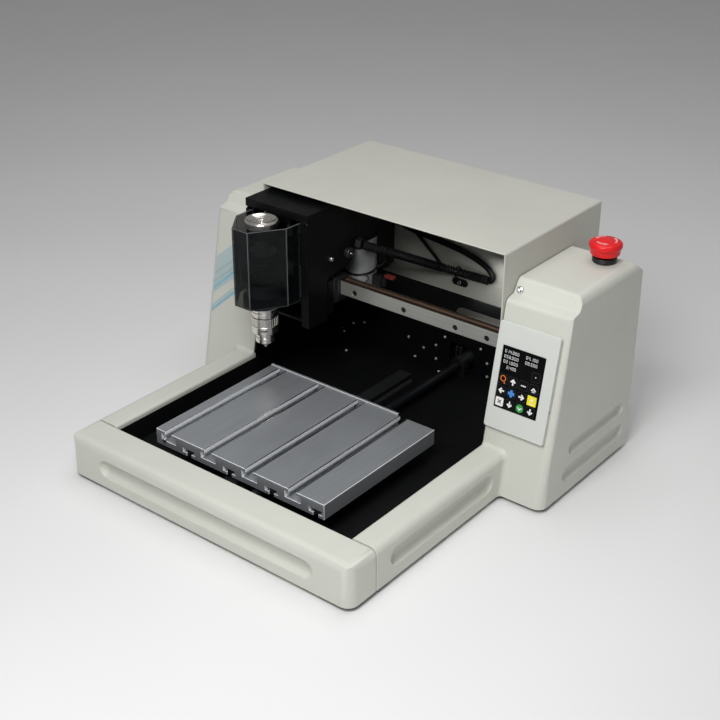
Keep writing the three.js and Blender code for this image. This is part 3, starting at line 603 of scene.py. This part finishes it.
# ---------- bridge and table ----------
def bridge():
    """The profile rail, with a painted reflection on its top and dark strips of painted shade where its
    raceway grooves lie, its bore plugs, and the linear blocks with their end seals.
    """
    rail = refined("x_rail", width=0.35)
    # The rail's top faces are painted brown: a painted reflection.
    paint(rail, RAIL_TOP_PAINTED_REFLECTION, lambda middle, out: middle.z > 177 and out.z > 0.5)
    # Dark strips on the rail's top stand for the shade in its raceway grooves: painted shade.
    race_shade_strips = [rounded(y - 0.55, y + 0.55, z - 0.5, z + 0.3, 0.35, 2)
             for y, z in ((371.6, 179.9), (374.2, 179.9), (378.5, 178.2), (383.2, 179.9), (386, 179.9))]
    slabs("rail_race_shade_strips", race_shade_strips, -RAIL_HALF, RAIL_HALF, crosswise, RACE_PAINTED_SHADE, "root", 0.1)
    plug = [(0, 0.2), (2.6, 0.2), (2.8, 0.8), (4.6, 0.9), (4.6, -1.2), (0, -1.2)]
    for k, x in enumerate([-144.2, -61.3, 21.6, 104.5, 187.4, 153.4]):
        lathe(f"rail_plug_{k}", plug, (x, RAIL_FRONT, RAIL_MIDDLE), BLUED, "root", sides=32, width=0.1,
              axis=(0, -1, 0))
    for node in ("x_block_left", "x_block_right"):
        refined(node, DARK_STEEL, width=0.6)
    low, high = 149.5, 188
    seal = [(362, low + 1), (384.4, low + 1), (384.4, 159.2), (369.4, 159.2), (369.4, 180.8), (384.4, 180.8),
            (384.4, high - 1.6), (362, high - 1.6)]
    slabs("x_block_seal", [seal], -87, -84.6, crosswise, LOOKS["black_plastic"], "x_carriage",
          0.3)
    block("x_wiper", (-102, -84.7), (366.4, 369.2), (161.5, 178.5), BRIGHT_METAL_AND_HIGHLIGHT, "x_carriage", 0.5)
    block("x_wiper_edge", (-102.5, -84.4), (366, 369.3), (159.5, 161.2), LOOKS["black_plastic"], "x_carriage",
          0.3)
    refined("x_screw", width=0.5)
    refined("x_motor", width=2)


def table():
    """The slotted table, and the screw, rail and bearings that move it."""
    # The table's bevelled edges and the side walls of its slots are given a painted highlight.
    top = refined("table", width=0.5, segments=2, edge=TABLE_PAINTED_HIGHLIGHT)
    paint(top, TABLE_PAINTED_HIGHLIGHT, lambda middle, out: abs(out.x) > 0.9 and 52 < middle.z < 67.5 and abs(middle.x) < 138)
    refined("table_rear_strip", width=0.5, edge=TABLE_PAINTED_HIGHLIGHT)
    first_slot, slot_pitch = -117, 69
    # Thin bright strips on both lips of each slot: a painted highlight.
    low, high = TABLE_TOP - 0.02, TABLE_TOP + 0.25
    lip_highlights = []
    for k in range(4):
        x = first_slot + slot_pitch * k
        for u0, u1 in ((x - 7.4, x - 5.6), (x + 5.6, x + 7.4)):
            lip_highlights.append([(u0, low), (u1, low), (u1, high), (u0, high)])
    slabs("table_slot_lip_highlights", lip_highlights, 66.2, 282.8, upright, BRIGHT_METAL_AND_HIGHLIGHT, "table", 0.08)
    screw_heads("table_end_screw", [(-123.5, 66, 56.5)], (0, -1, 0), 3.2, 2.6, "table")
    for k in range(4):
        x = first_slot + slot_pitch * (k + 0.5) + 1
        block(f"table_end_plug_{k}", (x - 3.2, x + 3.2), (66.6, 74), (48, 55.6), LOOKS["black_plastic"],
              "table", 0.5)
    refined("y_rail", GREY_METAL, 0.5)
    refined("y_block", width=0.6)
    refined("y_rear_bearing", width=0.8)
    x, z = TABLE_SCREW
    lathe("shaft_coupling", [(0, 0), (10.5, 0), (10.5, 28.4), (0, 28.4)], (x, 501, z), BLUED, "y_screw",
          ["y_coupling"], axis=(0, 1, 0), width=0.4)
    for k in range(2):
        block(f"window_rib_{k}", (11 + 6.5 * k, 14.4 + 6.5 * k), (512, 516), (30, 54), DARK_STEEL, "root",
              0.6)
    lathe("table_screw", [(0, 60), (5.6, 60), (6, 60.5), (6, 500.2), (5.6, 500.6), (0, 500.6)], (x, 0, z),
          BLUED, "y_screw", ["y_screw"], axis=(0, 1, 0), sides=48, width=0)


# ---------- head ----------
def head():
    """The housing on the cross carriage, the guard, and the upright drive behind them."""
    refined("head_housing", width=0.5, segments=2)
    refined("head_floor", width=0.4)
    screw_heads("housing_bolt", [(-83, 347, 220.5)], (1, 0, 0), 3.6, 3.6, "x_carriage")
    clamp = [(0, -0.2), (7.2, -0.2), (7.6, 1.2), (7.6, 6.2), (6.6, 7.6), (3.2, 7.9), (3, 6.6), (0, 6.6)]
    lathe("housing_clamp", clamp, (-83, 381, 219), LOOKS["black_plastic"], "x_carriage",
          axis=(1, 0, 0), width=0.3)
    screw_heads("housing_clamp_screw", [(-76.6, 381, 219)], (1, 0, 0), 2.3, 1.6, "x_carriage")
    # The guard's bevelled edges get the lighter rim: a painted highlight.
    refined("spindle_guard", width=0.45, angle=12, edge=GUARD_RIM_PAINTED_HIGHLIGHT)
    for node in ("carriage_plate", "z_slide_block", "motor_arm"):
        refined(node, width=0.5)
    refined("spindle_bracket", GREY_METAL, 0.6)
    for node in ("z_guide_left", "z_guide_right", "z_screw", "z_motor"):
        refined(node, width=0.4)


def spindle():
    """Spindle body, nose, depth ring and top knob, and the belt drive's pulleys."""
    x, y = SPINDLE
    centre = (x, y, 0)
    body = [(9.6, 165), (22.4, 165), (23, 166), (23, 200), (22.2, 200.6), (22.2, 203), (23, 203.6),
            (23, 224), (22, 225), (9.6, 225)]
    shell = lathe("spindle_body_shell", body, centre, LOOKS["black_plastic"], "z_slide",
                  ["spindle_body"])
    paint(shell, LOOKS["motor_grey"], lambda middle, out: middle.z < 201 and abs(out.z) < 0.9)
    sleeve = [(9.4, 128), (12, 128), (12, 150.4), (16.8, 150.4), (17.6, 151.2), (17.6, 157.4),
              (16.9, 157.8), (16.9, 158.8), (17.6, 159.2), (17.6, 163.9), (16.8, 164.7), (9.4, 164.7)]
    lathe("nose_sleeve_turned", sleeve, centre, LOOKS["chrome"], "z_slide", ["nose_sleeve"])
    screw_heads("nose_set_screw", [(x + 17.2, y - 3.2, 155)], (0.98, -0.18, 0), 1.5, 0.6, "z_slide",
                DARK_STEEL)
    flutes = []
    count, crest, root = 28, 18.3, 17.3
    for k in range(count):
        for share, radius in ((0, crest), (0.42, crest), (0.55, root), (0.87, root)):
            turn = 2 * math.pi * (k + share) / count
            flutes.append((x + radius * math.cos(turn), y + radius * math.sin(turn)))
    slabs("depth_ring_grip", [flutes], 138.4, 149.8, at, LOOKS["chrome"], "depth_ring", 0.2)
    flange = [(12.4, 126.5), (17.6, 126.5), (18.3, 127.2), (18.3, 137.4), (17.4, 138.4), (12.4, 138.4)]
    lathe("depth_ring_flange", flange, centre, LOOKS["chrome"], "depth_ring", ["depth_ring"])
    collar = [(5, 111), (12.2, 111), (13.4, 112.4), (13.4, 119.2), (12.7, 119.6), (12.7, 120.4),
              (13.4, 120.8), (13.4, 126.6), (5, 126.6)]
    lathe("depth_ring_collar", collar, centre, LOOKS["chrome"], "depth_ring", width=0.2)
    slots = []
    outer, inner, spread = 18.42, 17.9, 0.27
    for k in range(3):
        middle = math.radians(-51.5 + 120 * k)
        arc = [middle + spread * (n / 6 - 1) for n in range(13)]
        slots.append([(x + outer * math.cos(t), y + outer * math.sin(t)) for t in arc]
                     + [(x + inner * math.cos(t), y + inner * math.sin(t)) for t in arc[::-1]])
    slabs("depth_ring_slots", slots, 132.2, 134, at, DARK_STEEL, "depth_ring", 0)
    refined("spindle_shaft", width=0.2)
    refined("tool_bit", width=0.1)
    knob = [(0, 262.4), (16.4, 262.4), (17, 263), (17, 275.6), (20.8, 277.6), (22.5, 280.4), (22.5, 286),
            (21.4, 287.7), (19.6, 287.9), (17.6, 286.2), (13.6, 284.8), (12.8, 285.3), (12.2, 284.5),
            (8.2, 283.4), (7.6, 284.2), (7.0, 283.2), (3.4, 282.6), (2.8, 284.4), (0, 284.8)]
    dish = lathe("knob_dish", knob, centre, LOOKS["chrome"], "spindle_rotor", ["spindle_knob"],
                 sides=96)
    paint(dish, LOOKS["black_plastic"], lambda middle, out: middle.z < 276.5)
    toothed("spindle_pulley_toothed", x, y, 18, 9.4, 40, "spindle_rotor", ["spindle_pulley"])
    toothed("motor_pulley_toothed", *MOTOR, 14, 0.0, 32, "motor_rotor", ["motor_pulley"])
    refined("spindle_belt", width=0.2)


def toothed(name, x, y, radius, bore, teeth, body, stands_for):
    """A timing pulley: two flanges and a toothed barrel between them."""
    barrel = []
    root = radius - 0.9
    for k in range(teeth):
        for share, r in ((0, root), (0.45, root), (0.55, radius), (0.95, radius)):
            turn = 2 * math.pi * (k + share) / teeth
            barrel.append((x + r * math.cos(turn), y + r * math.sin(turn)))
    slabs(name + "_barrel", [barrel], 230.4, 242.6, at, LOOKS["aluminium"], body, 0.1)
    rim, waist = radius + 0.2, radius - 1.5
    flanges = [(bore, 229), (rim, 229), (rim, 230.4), (waist, 230.6), (waist, 242.4), (rim, 242.6),
               (rim, 244), (bore, 244)]
    if not bore:
        flanges = [(0, 209), (4, 209), (4, 229)] + flanges[1:]
    lathe(name, flanges, (x, y, 0), LOOKS["aluminium"], body, stands_for, width=0.15)


def spindle_motor():
    """The motor can, with the cable tied round it."""
    x, y = MOTOR
    can = [(0, 130), (9, 130), (9, 131.2), (20.6, 131.2), (22.3, 132.4), (22.5, 134), (22.5, 143),
           (22.1, 143.5), (22.1, 144.5), (22.5, 145), (22.5, 206), (22.1, 206.5), (22.1, 207.5), (22.5, 208),
           (22.5, 216.6), (21.4, 217.6), (0, 217.6)]
    lathe("motor_can", can, (x, y, 0), LOOKS["motor_grey"], "z_slide", ["spindle_motor"])
    steps, reach = 60, 23.4
    turns = [2 * math.pi * k / steps for k in range(steps + 1)]
    hoop = [Vector((x + reach * math.cos(t), y + reach * math.sin(t), 172 + 4 * math.sin(t))) for t in turns]
    cord("motor_cable_round", hoop, 1.5, "rubber", "z_slide", 10)
    lead = smooth_route([(-84.5, 448, 173), (-78, 454, 178), (-76, 458, 186), (-79, 456, 200),
                         (-86, 450, 214)], 2)
    cord("motor_lead", lead, 1.5, "rubber", "z_slide", 10)
    tie = smooth_route([(-88, 425, 171), (-80, 424, 166), (-84, 419, 158)], 2)
    cord("motor_tie_tail", tie, 0.9, "black_plastic", "z_slide", 8)


def connectors():
    """The motor's socket and its small red plug."""
    block("motor_socket", (-99, -69), (437, 447), (147, 166), LOOKS["black_plastic"], "z_slide",
          1.2)
    block("motor_socket_neck", (-69, -63), (439, 445), (152, 163), LOOKS["black_plastic"], "z_slide",
          0.8)
    block("motor_plug", (-63, -48), (438, 446), (166, 170.5), PLUG_RED, "z_slide", 0.8)
    wire = smooth_route([(-70, 443, 165), (-66, 443, 169), (-60, 442, 169)], 1.5)
    cord("motor_plug_lead", wire, 1.3, "rubber", "z_slide", 10)


# ---------- cables ----------
def cables():
    """The corrugated conduit to the head, and the cables on the wall behind it."""
    points = [(-76, 403, 225), (-69, 426, 213), (-61, 460, 196), (-53, 508, 171), (-35, 545, 152),
              (2, 556, 147), (33, 557, 147)]
    route = smooth_route(points, 1.0)
    rib = (4.7, 4.7, 6.45, 6.45)
    sides = 20
    radii = [rib[k % len(rib)] for k in range(len(route))]
    conduit = tube("conduit_corrugated", route, radii, CONDUIT, sides)
    # The rib crests get the lighter finish: a painted highlight.
    conduit.data.materials.append(RIDGE_PAINTED_HIGHLIGHT)
    for face in conduit.data.polygons:
        face.material_index = 1 if (face.index // sides) % len(rib) == 2 else 0
    conduit.data.set_sharp_from_angle(angle=math.radians(25))
    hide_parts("conduit")
    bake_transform(conduit)
    nut = [(5.6, 0), (9, 0), (9, 7), (7.6, 8.4), (5.6, 8.4)]
    lathe("conduit_gland", nut, (-83, 402.4, 226), LOOKS["black_plastic"], "x_carriage",
          sides=6, axis=(1, 0.25, -0.1), width=0.4)
    loop = smooth_route([(33, 557, 147), (36.6, 557, 147.6), (39.5, 557, 151), (39.5, 557, 156.5),
                         (35.5, 557, 161.5), (27, 558, 166.8), (10, 558, 173.8), (-19, 558, 180.6),
                         (-58, 558, 185.6), (-97, 558, 189.5), (-139, 558, 198)], 2)
    cord("wall_cable", loop, 4.2, "rubber", "root", 18, ["cable_loop"])
    thin = smooth_route([(-118, 560, 200), (-98, 560, 186), (-82.6, 560, 173.5), (-67.7, 560, 161.6),
                         (-52, 557, 151)], 2)
    cord("wall_lead", thin, 2.3, "rubber", "root", 12)
    slabs("conduit_clip_tab", [rounded(-34, -7, 121.5, 133, 5.5, 6)], WALL - 3, WALL - 0.2, upright,
          LOOKS["black_plastic"], "root", 0.8)
    grip = 7.1
    turns = [math.radians(a) for a in range(0, 361, 15)]
    strap = [Vector((-21, 557.2 + grip * math.cos(a), 146.6 + grip * math.sin(a))) for a in turns]
    cord("conduit_clip", strap, 1.4, "black_plastic", "root", 10)
    screw_heads("conduit_clip_screw", [(-21.4, WALL - 3, 127.2)], (0, -1, 0), 3.8, 2.2, "root")


# ---------- controls ----------
def pad_place(u, v, w):
    """A point of the control pad: u across, v up the slope, w out of the sloped face."""
    slope = math.atan(FACE_LEAN)
    y = FACE_FOOT - w * math.cos(slope) + v * math.sin(slope)
    z = w * math.sin(slope) + v * math.cos(slope)
    return at(u, y, z)


def arrow(cu, cv, turn, size=4.2):
    """An arrow's outline, pointing up the slope before it is turned by the given degrees."""
    half = [(0.95, 0.05), (0.6, -0.3), (0.24, 0.08), (0.24, -1)]
    shape = [(0, 1)] + half + [(-u, v) for u, v in half[::-1]]
    c, s = math.cos(math.radians(turn)), math.sin(math.radians(turn))
    return [(cu + size * (u * c - v * s), cv + size * (u * s + v * c)) for u, v in shape]


def chevron(cu, cv, size=3.6, sense=1):
    """A chevron's outline; sense is 1 for pointing up the slope, -1 for pointing down."""
    shape = [(0, 0.7), (1, -0.3), (0.7, -0.62), (0, 0.06), (-0.7, -0.62), (-1, -0.3)]
    return [(cu + size * u, cv + sense * size * v) for u, v in shape]


def ring_parts(cu, cv, radius, width):
    """A flat ring as a row of four-sided pieces."""
    count = 20
    parts = []
    for k in range(count):
        a, b = 2 * math.pi * k / count, 2 * math.pi * (k + 1) / count
        parts.append([(cu + r * math.cos(t), cv + r * math.sin(t))
                      for r, t in ((radius - width, a), (radius, a), (radius, b), (radius - width, b))])
    return parts


def disc(cu, cv, radius, count=28):
    return [(cu + radius * math.cos(2 * math.pi * k / count), cv + radius * math.sin(2 * math.pi * k / count))
            for k in range(count)]


def digit(value, cu, cv):
    """A seven-segment figure made of thin bars, with its lower left corner at (cu, cv)."""
    wide, tall, stroke = 2.3, 3.9, 0.48
    lit = {0: "abcdef", 1: "bc", 2: "abged", 4: "fgbc", 5: "afgcd", 8: "abcdefg"}[value]
    h, s = tall / 2, stroke
    bars = {
        "a": (0, wide, tall - s, tall), "b": (wide - s, wide, h, tall), "c": (wide - s, wide, 0, h),
        "d": (0, wide, 0, s), "e": (0, s, 0, h), "f": (0, s, h, tall), "g": (0, wide, h - s / 2, h + s / 2),
    }
    return [[(cu + u0, cv + v0), (cu + u1, cv + v0), (cu + u1, cv + v1), (cu + u0, cv + v1)]
            for u0, u1, v0, v1 in (bars[name] for name in lit)]


def keypad():
    """The screen, its read-out and its printed keys."""
    refined("control_screen", width=0.3)
    left, right, low, high = 204.9, 265.1, 115.0, 194.9
    wide, tall = right - left, high - low
    columns = [left + wide * share for share in (0.118, 0.357, 0.602, 0.845)]
    rows = [high - tall * share for share in (0.337, 0.53, 0.718, 0.9)]
    white = printed("key_white", (0.85, 0.85, 0.83))
    grey = printed("key_edge", (0.04, 0.041, 0.045), 0.08)
    key_black = printed("key_black", (0.004, 0.004, 0.0045), 0.08)
    orange = printed("key_orange", (0.85, 0.20, 0.02))
    blue = printed("key_blue", (0.06, 0.26, 0.72))
    yellow = printed("key_yellow", (0.93, 0.80, 0.02))
    green = printed("key_green", (0.03, 0.36, 0.07))
    film = 6.0  # how far the screen's face stands out of the sloped face
    # Each printed layer lies a little above the one before: from, to, above the screen's face.
    edge_layer, key_layer, mark_layer, over_layer = (0.0, 0.05), (0.05, 0.1), (0.1, 0.16), (0.18, 0.24)

    def layer(name, shapes, span, material):
        slabs(name, shapes, film + span[0], film + span[1], pad_place, material, "root", 0)

    def key(c, r, half_u, half_v, corner):
        return rounded(columns[c] - half_u, columns[c] + half_u, rows[r] - half_v, rows[r] + half_v, corner)

    dark_keys = [(c, r) for r in range(4) for c in range(4) if r > 0 or c == 3]
    layer("key_edges", [key(c, r, 6.1, 6.2, 1.6) for c, r in dark_keys], edge_layer, grey)
    layer("key_faces", [key(c, r, 5.7, 5.8, 1.4) for c, r in dark_keys], key_layer, key_black)
    layer("key_white_face", [key(0, 3, 5.6, 5.6, 1.6)], mark_layer, white)
    layer("key_yellow_face", [key(3, 2, 6.3, 6.3, 0.8)], mark_layer, yellow)
    layer("key_green_face", [disc(columns[2], rows[3], 5.2)], mark_layer, green)
    ring = ring_parts(columns[0], rows[1] + 0.8, 4.0, 1.1)
    handle = [(columns[0] + u, rows[1] - v) for u, v in ((1.4, 3.6), (2.6, 3.0), (3.6, 5.2), (2.4, 5.6))]
    layer("key_orange_mark", ring + [handle], mark_layer, orange)
    arm = [(-4.6, -1.9), (-1.9, -1.9), (-1.9, -4.6), (1.9, -4.6), (1.9, -1.9), (4.6, -1.9)]
    cross = [(columns[1] + u, rows[2] + v) for u, v in arm + [(-u, -v) for u, v in arm]]
    layer("key_blue_mark", [cross], mark_layer, blue)
    marks = [
        arrow(columns[1], rows[1], 0), chevron(columns[3], rows[1] - 0.5),
        chevron(columns[3], rows[1] - 3.2, 2.2),
        arrow(columns[0], rows[2], 90), arrow(columns[2], rows[2], -90),
        arrow(columns[1], rows[3], 180), arrow(columns[3], rows[3], 180),
    ]
    marks += [rounded(columns[2] + u0, columns[2] + u1, rows[1] - 1.0, rows[1] + 0.6, 0.3)
              for u0, u1 in ((-3.4, -1.2), (-0.8, 1.0), (1.4, 3.4))]
    marks.append(disc(columns[3], rows[0], 0.8, 12))
    layer("key_white_marks", marks, mark_layer, white)
    over = [chevron(columns[2], rows[3] - 0.4, 3.4, -1), arrow(columns[3], rows[2] + 1.4, 180, 2.6),
            rounded(columns[3] - 3.6, columns[3] + 3.6, rows[2] - 4.3, rows[2] - 3.3, 0.3)]
    layer("key_over_marks", over, over_layer, white)
    half = [(-1, -0.7), (-0.7, -1), (0, -0.3), (0.7, -1), (1, -0.7), (0.3, 0)]
    stop = [(columns[0] + 2.6 * u, rows[3] + 2.6 * v) for u, v in half + [(-u, -v) for u, v in half]]
    layer("key_dark_mark", [stop], over_layer, key_black)
    lines = [((0, 1, 4, 0, 0, 0), (0, 4, 1, 0, 0)), ((0, 5, 8, 0, 0, 0), (0, 8, 5, 0, 0)),
             ((0, 2, 1, 0, 0, 0), ()), ((2, 4, 0, 0), ())]
    figures = []
    pitch = 3.35
    for k, (first, second) in enumerate(lines):
        v = high - tall * (0.075 + 0.083 * k) - 2.4
        for group, start in ((first, left + (3.6 if k < 3 else 9)), (second, left + 33.5)):
            for n, value in enumerate(group):
                figures += digit(value, start + pitch * n + (0.9 if n > len(group) - 4 else 0), v)
            if group:
                u = start + pitch * (len(group) - 3) - 0.5
                figures.append([(u, v), (u + 0.7, v), (u + 0.7, v + 0.7), (u, v + 0.7)])
    layer("read_out", figures, (0.0, 0.08), white)
    lathe("panel_sensor", [(0, -0.1), (1.1, -0.1), (1.1, 0.25), (0, 0.25)], (280.4, 319, 128),
          LOOKS["black_plastic"], "root", axis=(1, 0, 0), sides=20, width=0.1)


def stop_button():
    """The emergency stop: collar, mushroom head and three curved arrows printed on it."""
    x, y = ESTOP
    collar = [(0, 226), (10.8, 226), (10.8, 265.1), (14.6, 265.1), (15.5, 266), (15.5, 268.6), (14.9, 269),
              (14.9, 269.8), (15.5, 270.2), (15.5, 271.2), (14.8, 272), (6.6, 272), (6.6, 236), (0, 236)]
    lathe("stop_collar", collar, (x, y, 0), LOOKS["black_plastic"], "root", ["estop_collar"])
    profile = [(0, 242), (6, 242), (6, 277.5), (15.9, 277.5), (15.9, 275.8), (18.1, 275.8), (18.6, 276.6),
               (19.2, 283.2), (20.8, 285), (21, 286), (21, 289.2), (20.2, 290.8), (18.4, 291.9), (14, 293),
               (8, 293.8), (0, 294)]
    lathe("stop_head", profile, (x, y, 0), LOOKS["red"], "estop", ["estop_head"], sides=96, width=0.5)
    arrows = []
    middle, sweep, steps, head = 13, 1.25, 8, 6  # the arrow's head starts at this step
    for k in range(3):
        start = 2 * math.pi * k / 3
        outer, inner = [], []
        for n in range(steps + 1):
            turn = start + sweep * n / steps
            half = 1.1 if n < head else steps - n + 0.05
            outer.append((x + (middle + half) * math.cos(turn), y + (middle + half) * math.sin(turn)))
            inner.append((x + (middle - half) * math.cos(turn), y + (middle - half) * math.sin(turn)))
        arrows.append(outer + inner[::-1])
    pale = printed("stop_arrows", (0.80, 0.42, 0.42))
    slabs("stop_arrows_print", arrows, 292.6, 293.45, at, pale, "estop", 0)


def back():
    """Power inlet and rocker, the panel's vents and screws, and the hidden boxes and motor."""
    for node in ("power_inlet", "power_rocker", "y_motor", "power_supply", "controller_box"):
        refined(node, width=0.6)
    pin = [(0, -2), (1.4, -2), (1.4, 9), (0.9, 9.8), (0, 9.8)]
    for k, (dx, dz) in enumerate(((-5, -2.5), (5, -2.5), (0, 3))):
        lathe(f"inlet_pin_{k}", pin, (-117 + dx, 556, 40 + dz), BRIGHT_METAL_AND_HIGHLIGHT, "root", axis=(0, 1, 0),
              sides=20, width=0.1)
    vents = [rounded(x - 1.3, x + 1.3, 26, 56, 1.2) for x in range(90, 150, 7)]
    slabs("rear_vents", vents, REAR_FACE - 0.3, REAR_FACE - 0.01, upright, LOOKS["black_plastic"], "root",
          0.05)
    screw = [(0, -0.6), (1.2, -0.6), (1.3, -0.1), (2.8, -0.1), (2.8, -1), (0, -1)]
    for k, (x, z) in enumerate([(-162, 15), (-162, 65), (162, 15), (162, 65)]):
        lathe(f"rear_panel_screw_{k}", screw, (x, REAR_FACE, z), BRIGHT_METAL_AND_HIGHLIGHT, "root", axis=(0, 1, 0),
              sides=24, width=0.05)


def leftover():
    """Whatever is still shown as plain CAD gets its slot's finish."""
    for node, piece in frame["nodes"].items():
        if piece.hide_render:
            continue
        piece.data.materials.clear()
        piece.data.materials.append(LOOKS[SLOTS[node]])


# ---------- stage ----------
def stage():
    """Floor, world light, lamps and camera."""
    half = 6  # of the floor's side, in metres
    corners = [(-half, -half, 0), (half, -half, 0), (half, half, 0), (-half, half, 0)]
    floor = from_faces("floor", corners, [[0, 1, 2, 3]])
    shade = Shade("floor_paint", (0.78, 0.78, 0.78), 0.9)
    shade.mottle(shade.noise(3, 2), (0.77, 0.77, 0.77), (0.79, 0.79, 0.79))
    floor.data.materials.append(shade.material)

    world = bpy.data.worlds.new("studio")
    world.use_nodes = True
    world.node_tree.nodes["Background"].inputs["Color"].default_value = (1.0, 1.0, 1.0, 1)
    world.node_tree.nodes["Background"].inputs["Strength"].default_value = 0.24
    bpy.context.scene.world = world

    def lamp(name, place, target, size, watts):
        data = bpy.data.lights.new(name, "AREA")
        data.energy = watts
        data.size = size
        light = bpy.data.objects.new(name, data)
        light.location = place
        light.rotation_euler = (Vector(target) - Vector(place)).to_track_quat("-Z", "Y").to_euler()
        bpy.context.scene.collection.objects.link(light)

    lamp("key", (0.38, -0.86, 1.17), (0.05, 0, 0.12), 0.6, 14.5)
    lamp("fill", (1.9, -0.2, 0.9), (0, 0, 0.12), 1.2, 0.6)
    lamp("top", (0.0, 0.4, 2.0), (0, 0, 0.1), 1.2, 9)
    lamp("behind_slot", (0.08, 0.236, 0.16), (0.08, 0.281, 0.09), 0.08, 0.04)

    data = bpy.data.cameras.new("camera")
    data.lens = 66.66
    data.sensor_width = 36
    camera = bpy.data.objects.new("camera", data)
    camera.location = (0.96642, -1.19176, 0.93990)
    az, pitch, roll = math.radians(38.54), math.radians(27.90), math.radians(0.17)
    ahead = Vector((-math.sin(az) * math.cos(pitch), math.cos(az) * math.cos(pitch), -math.sin(pitch)))
    across = Vector((math.cos(az), math.sin(az), 0))
    up = across.cross(ahead)
    right = math.cos(roll) * across + math.sin(roll) * up
    above = right.cross(ahead)
    turn = Matrix((right, above, -ahead)).transposed().to_4x4()
    camera.matrix_world = Matrix.Translation(camera.location) @ turn
    bpy.context.scene.collection.objects.link(camera)
    bpy.context.scene.camera = camera
    bpy.context.scene.view_settings.view_transform = "Standard"


covers()
hood_fold()
decal()
well()
bridge()
table()
head()
spindle()
spindle_motor()
connectors()
cables()
keypad()
stop_button()
back()
leftover()
stage()
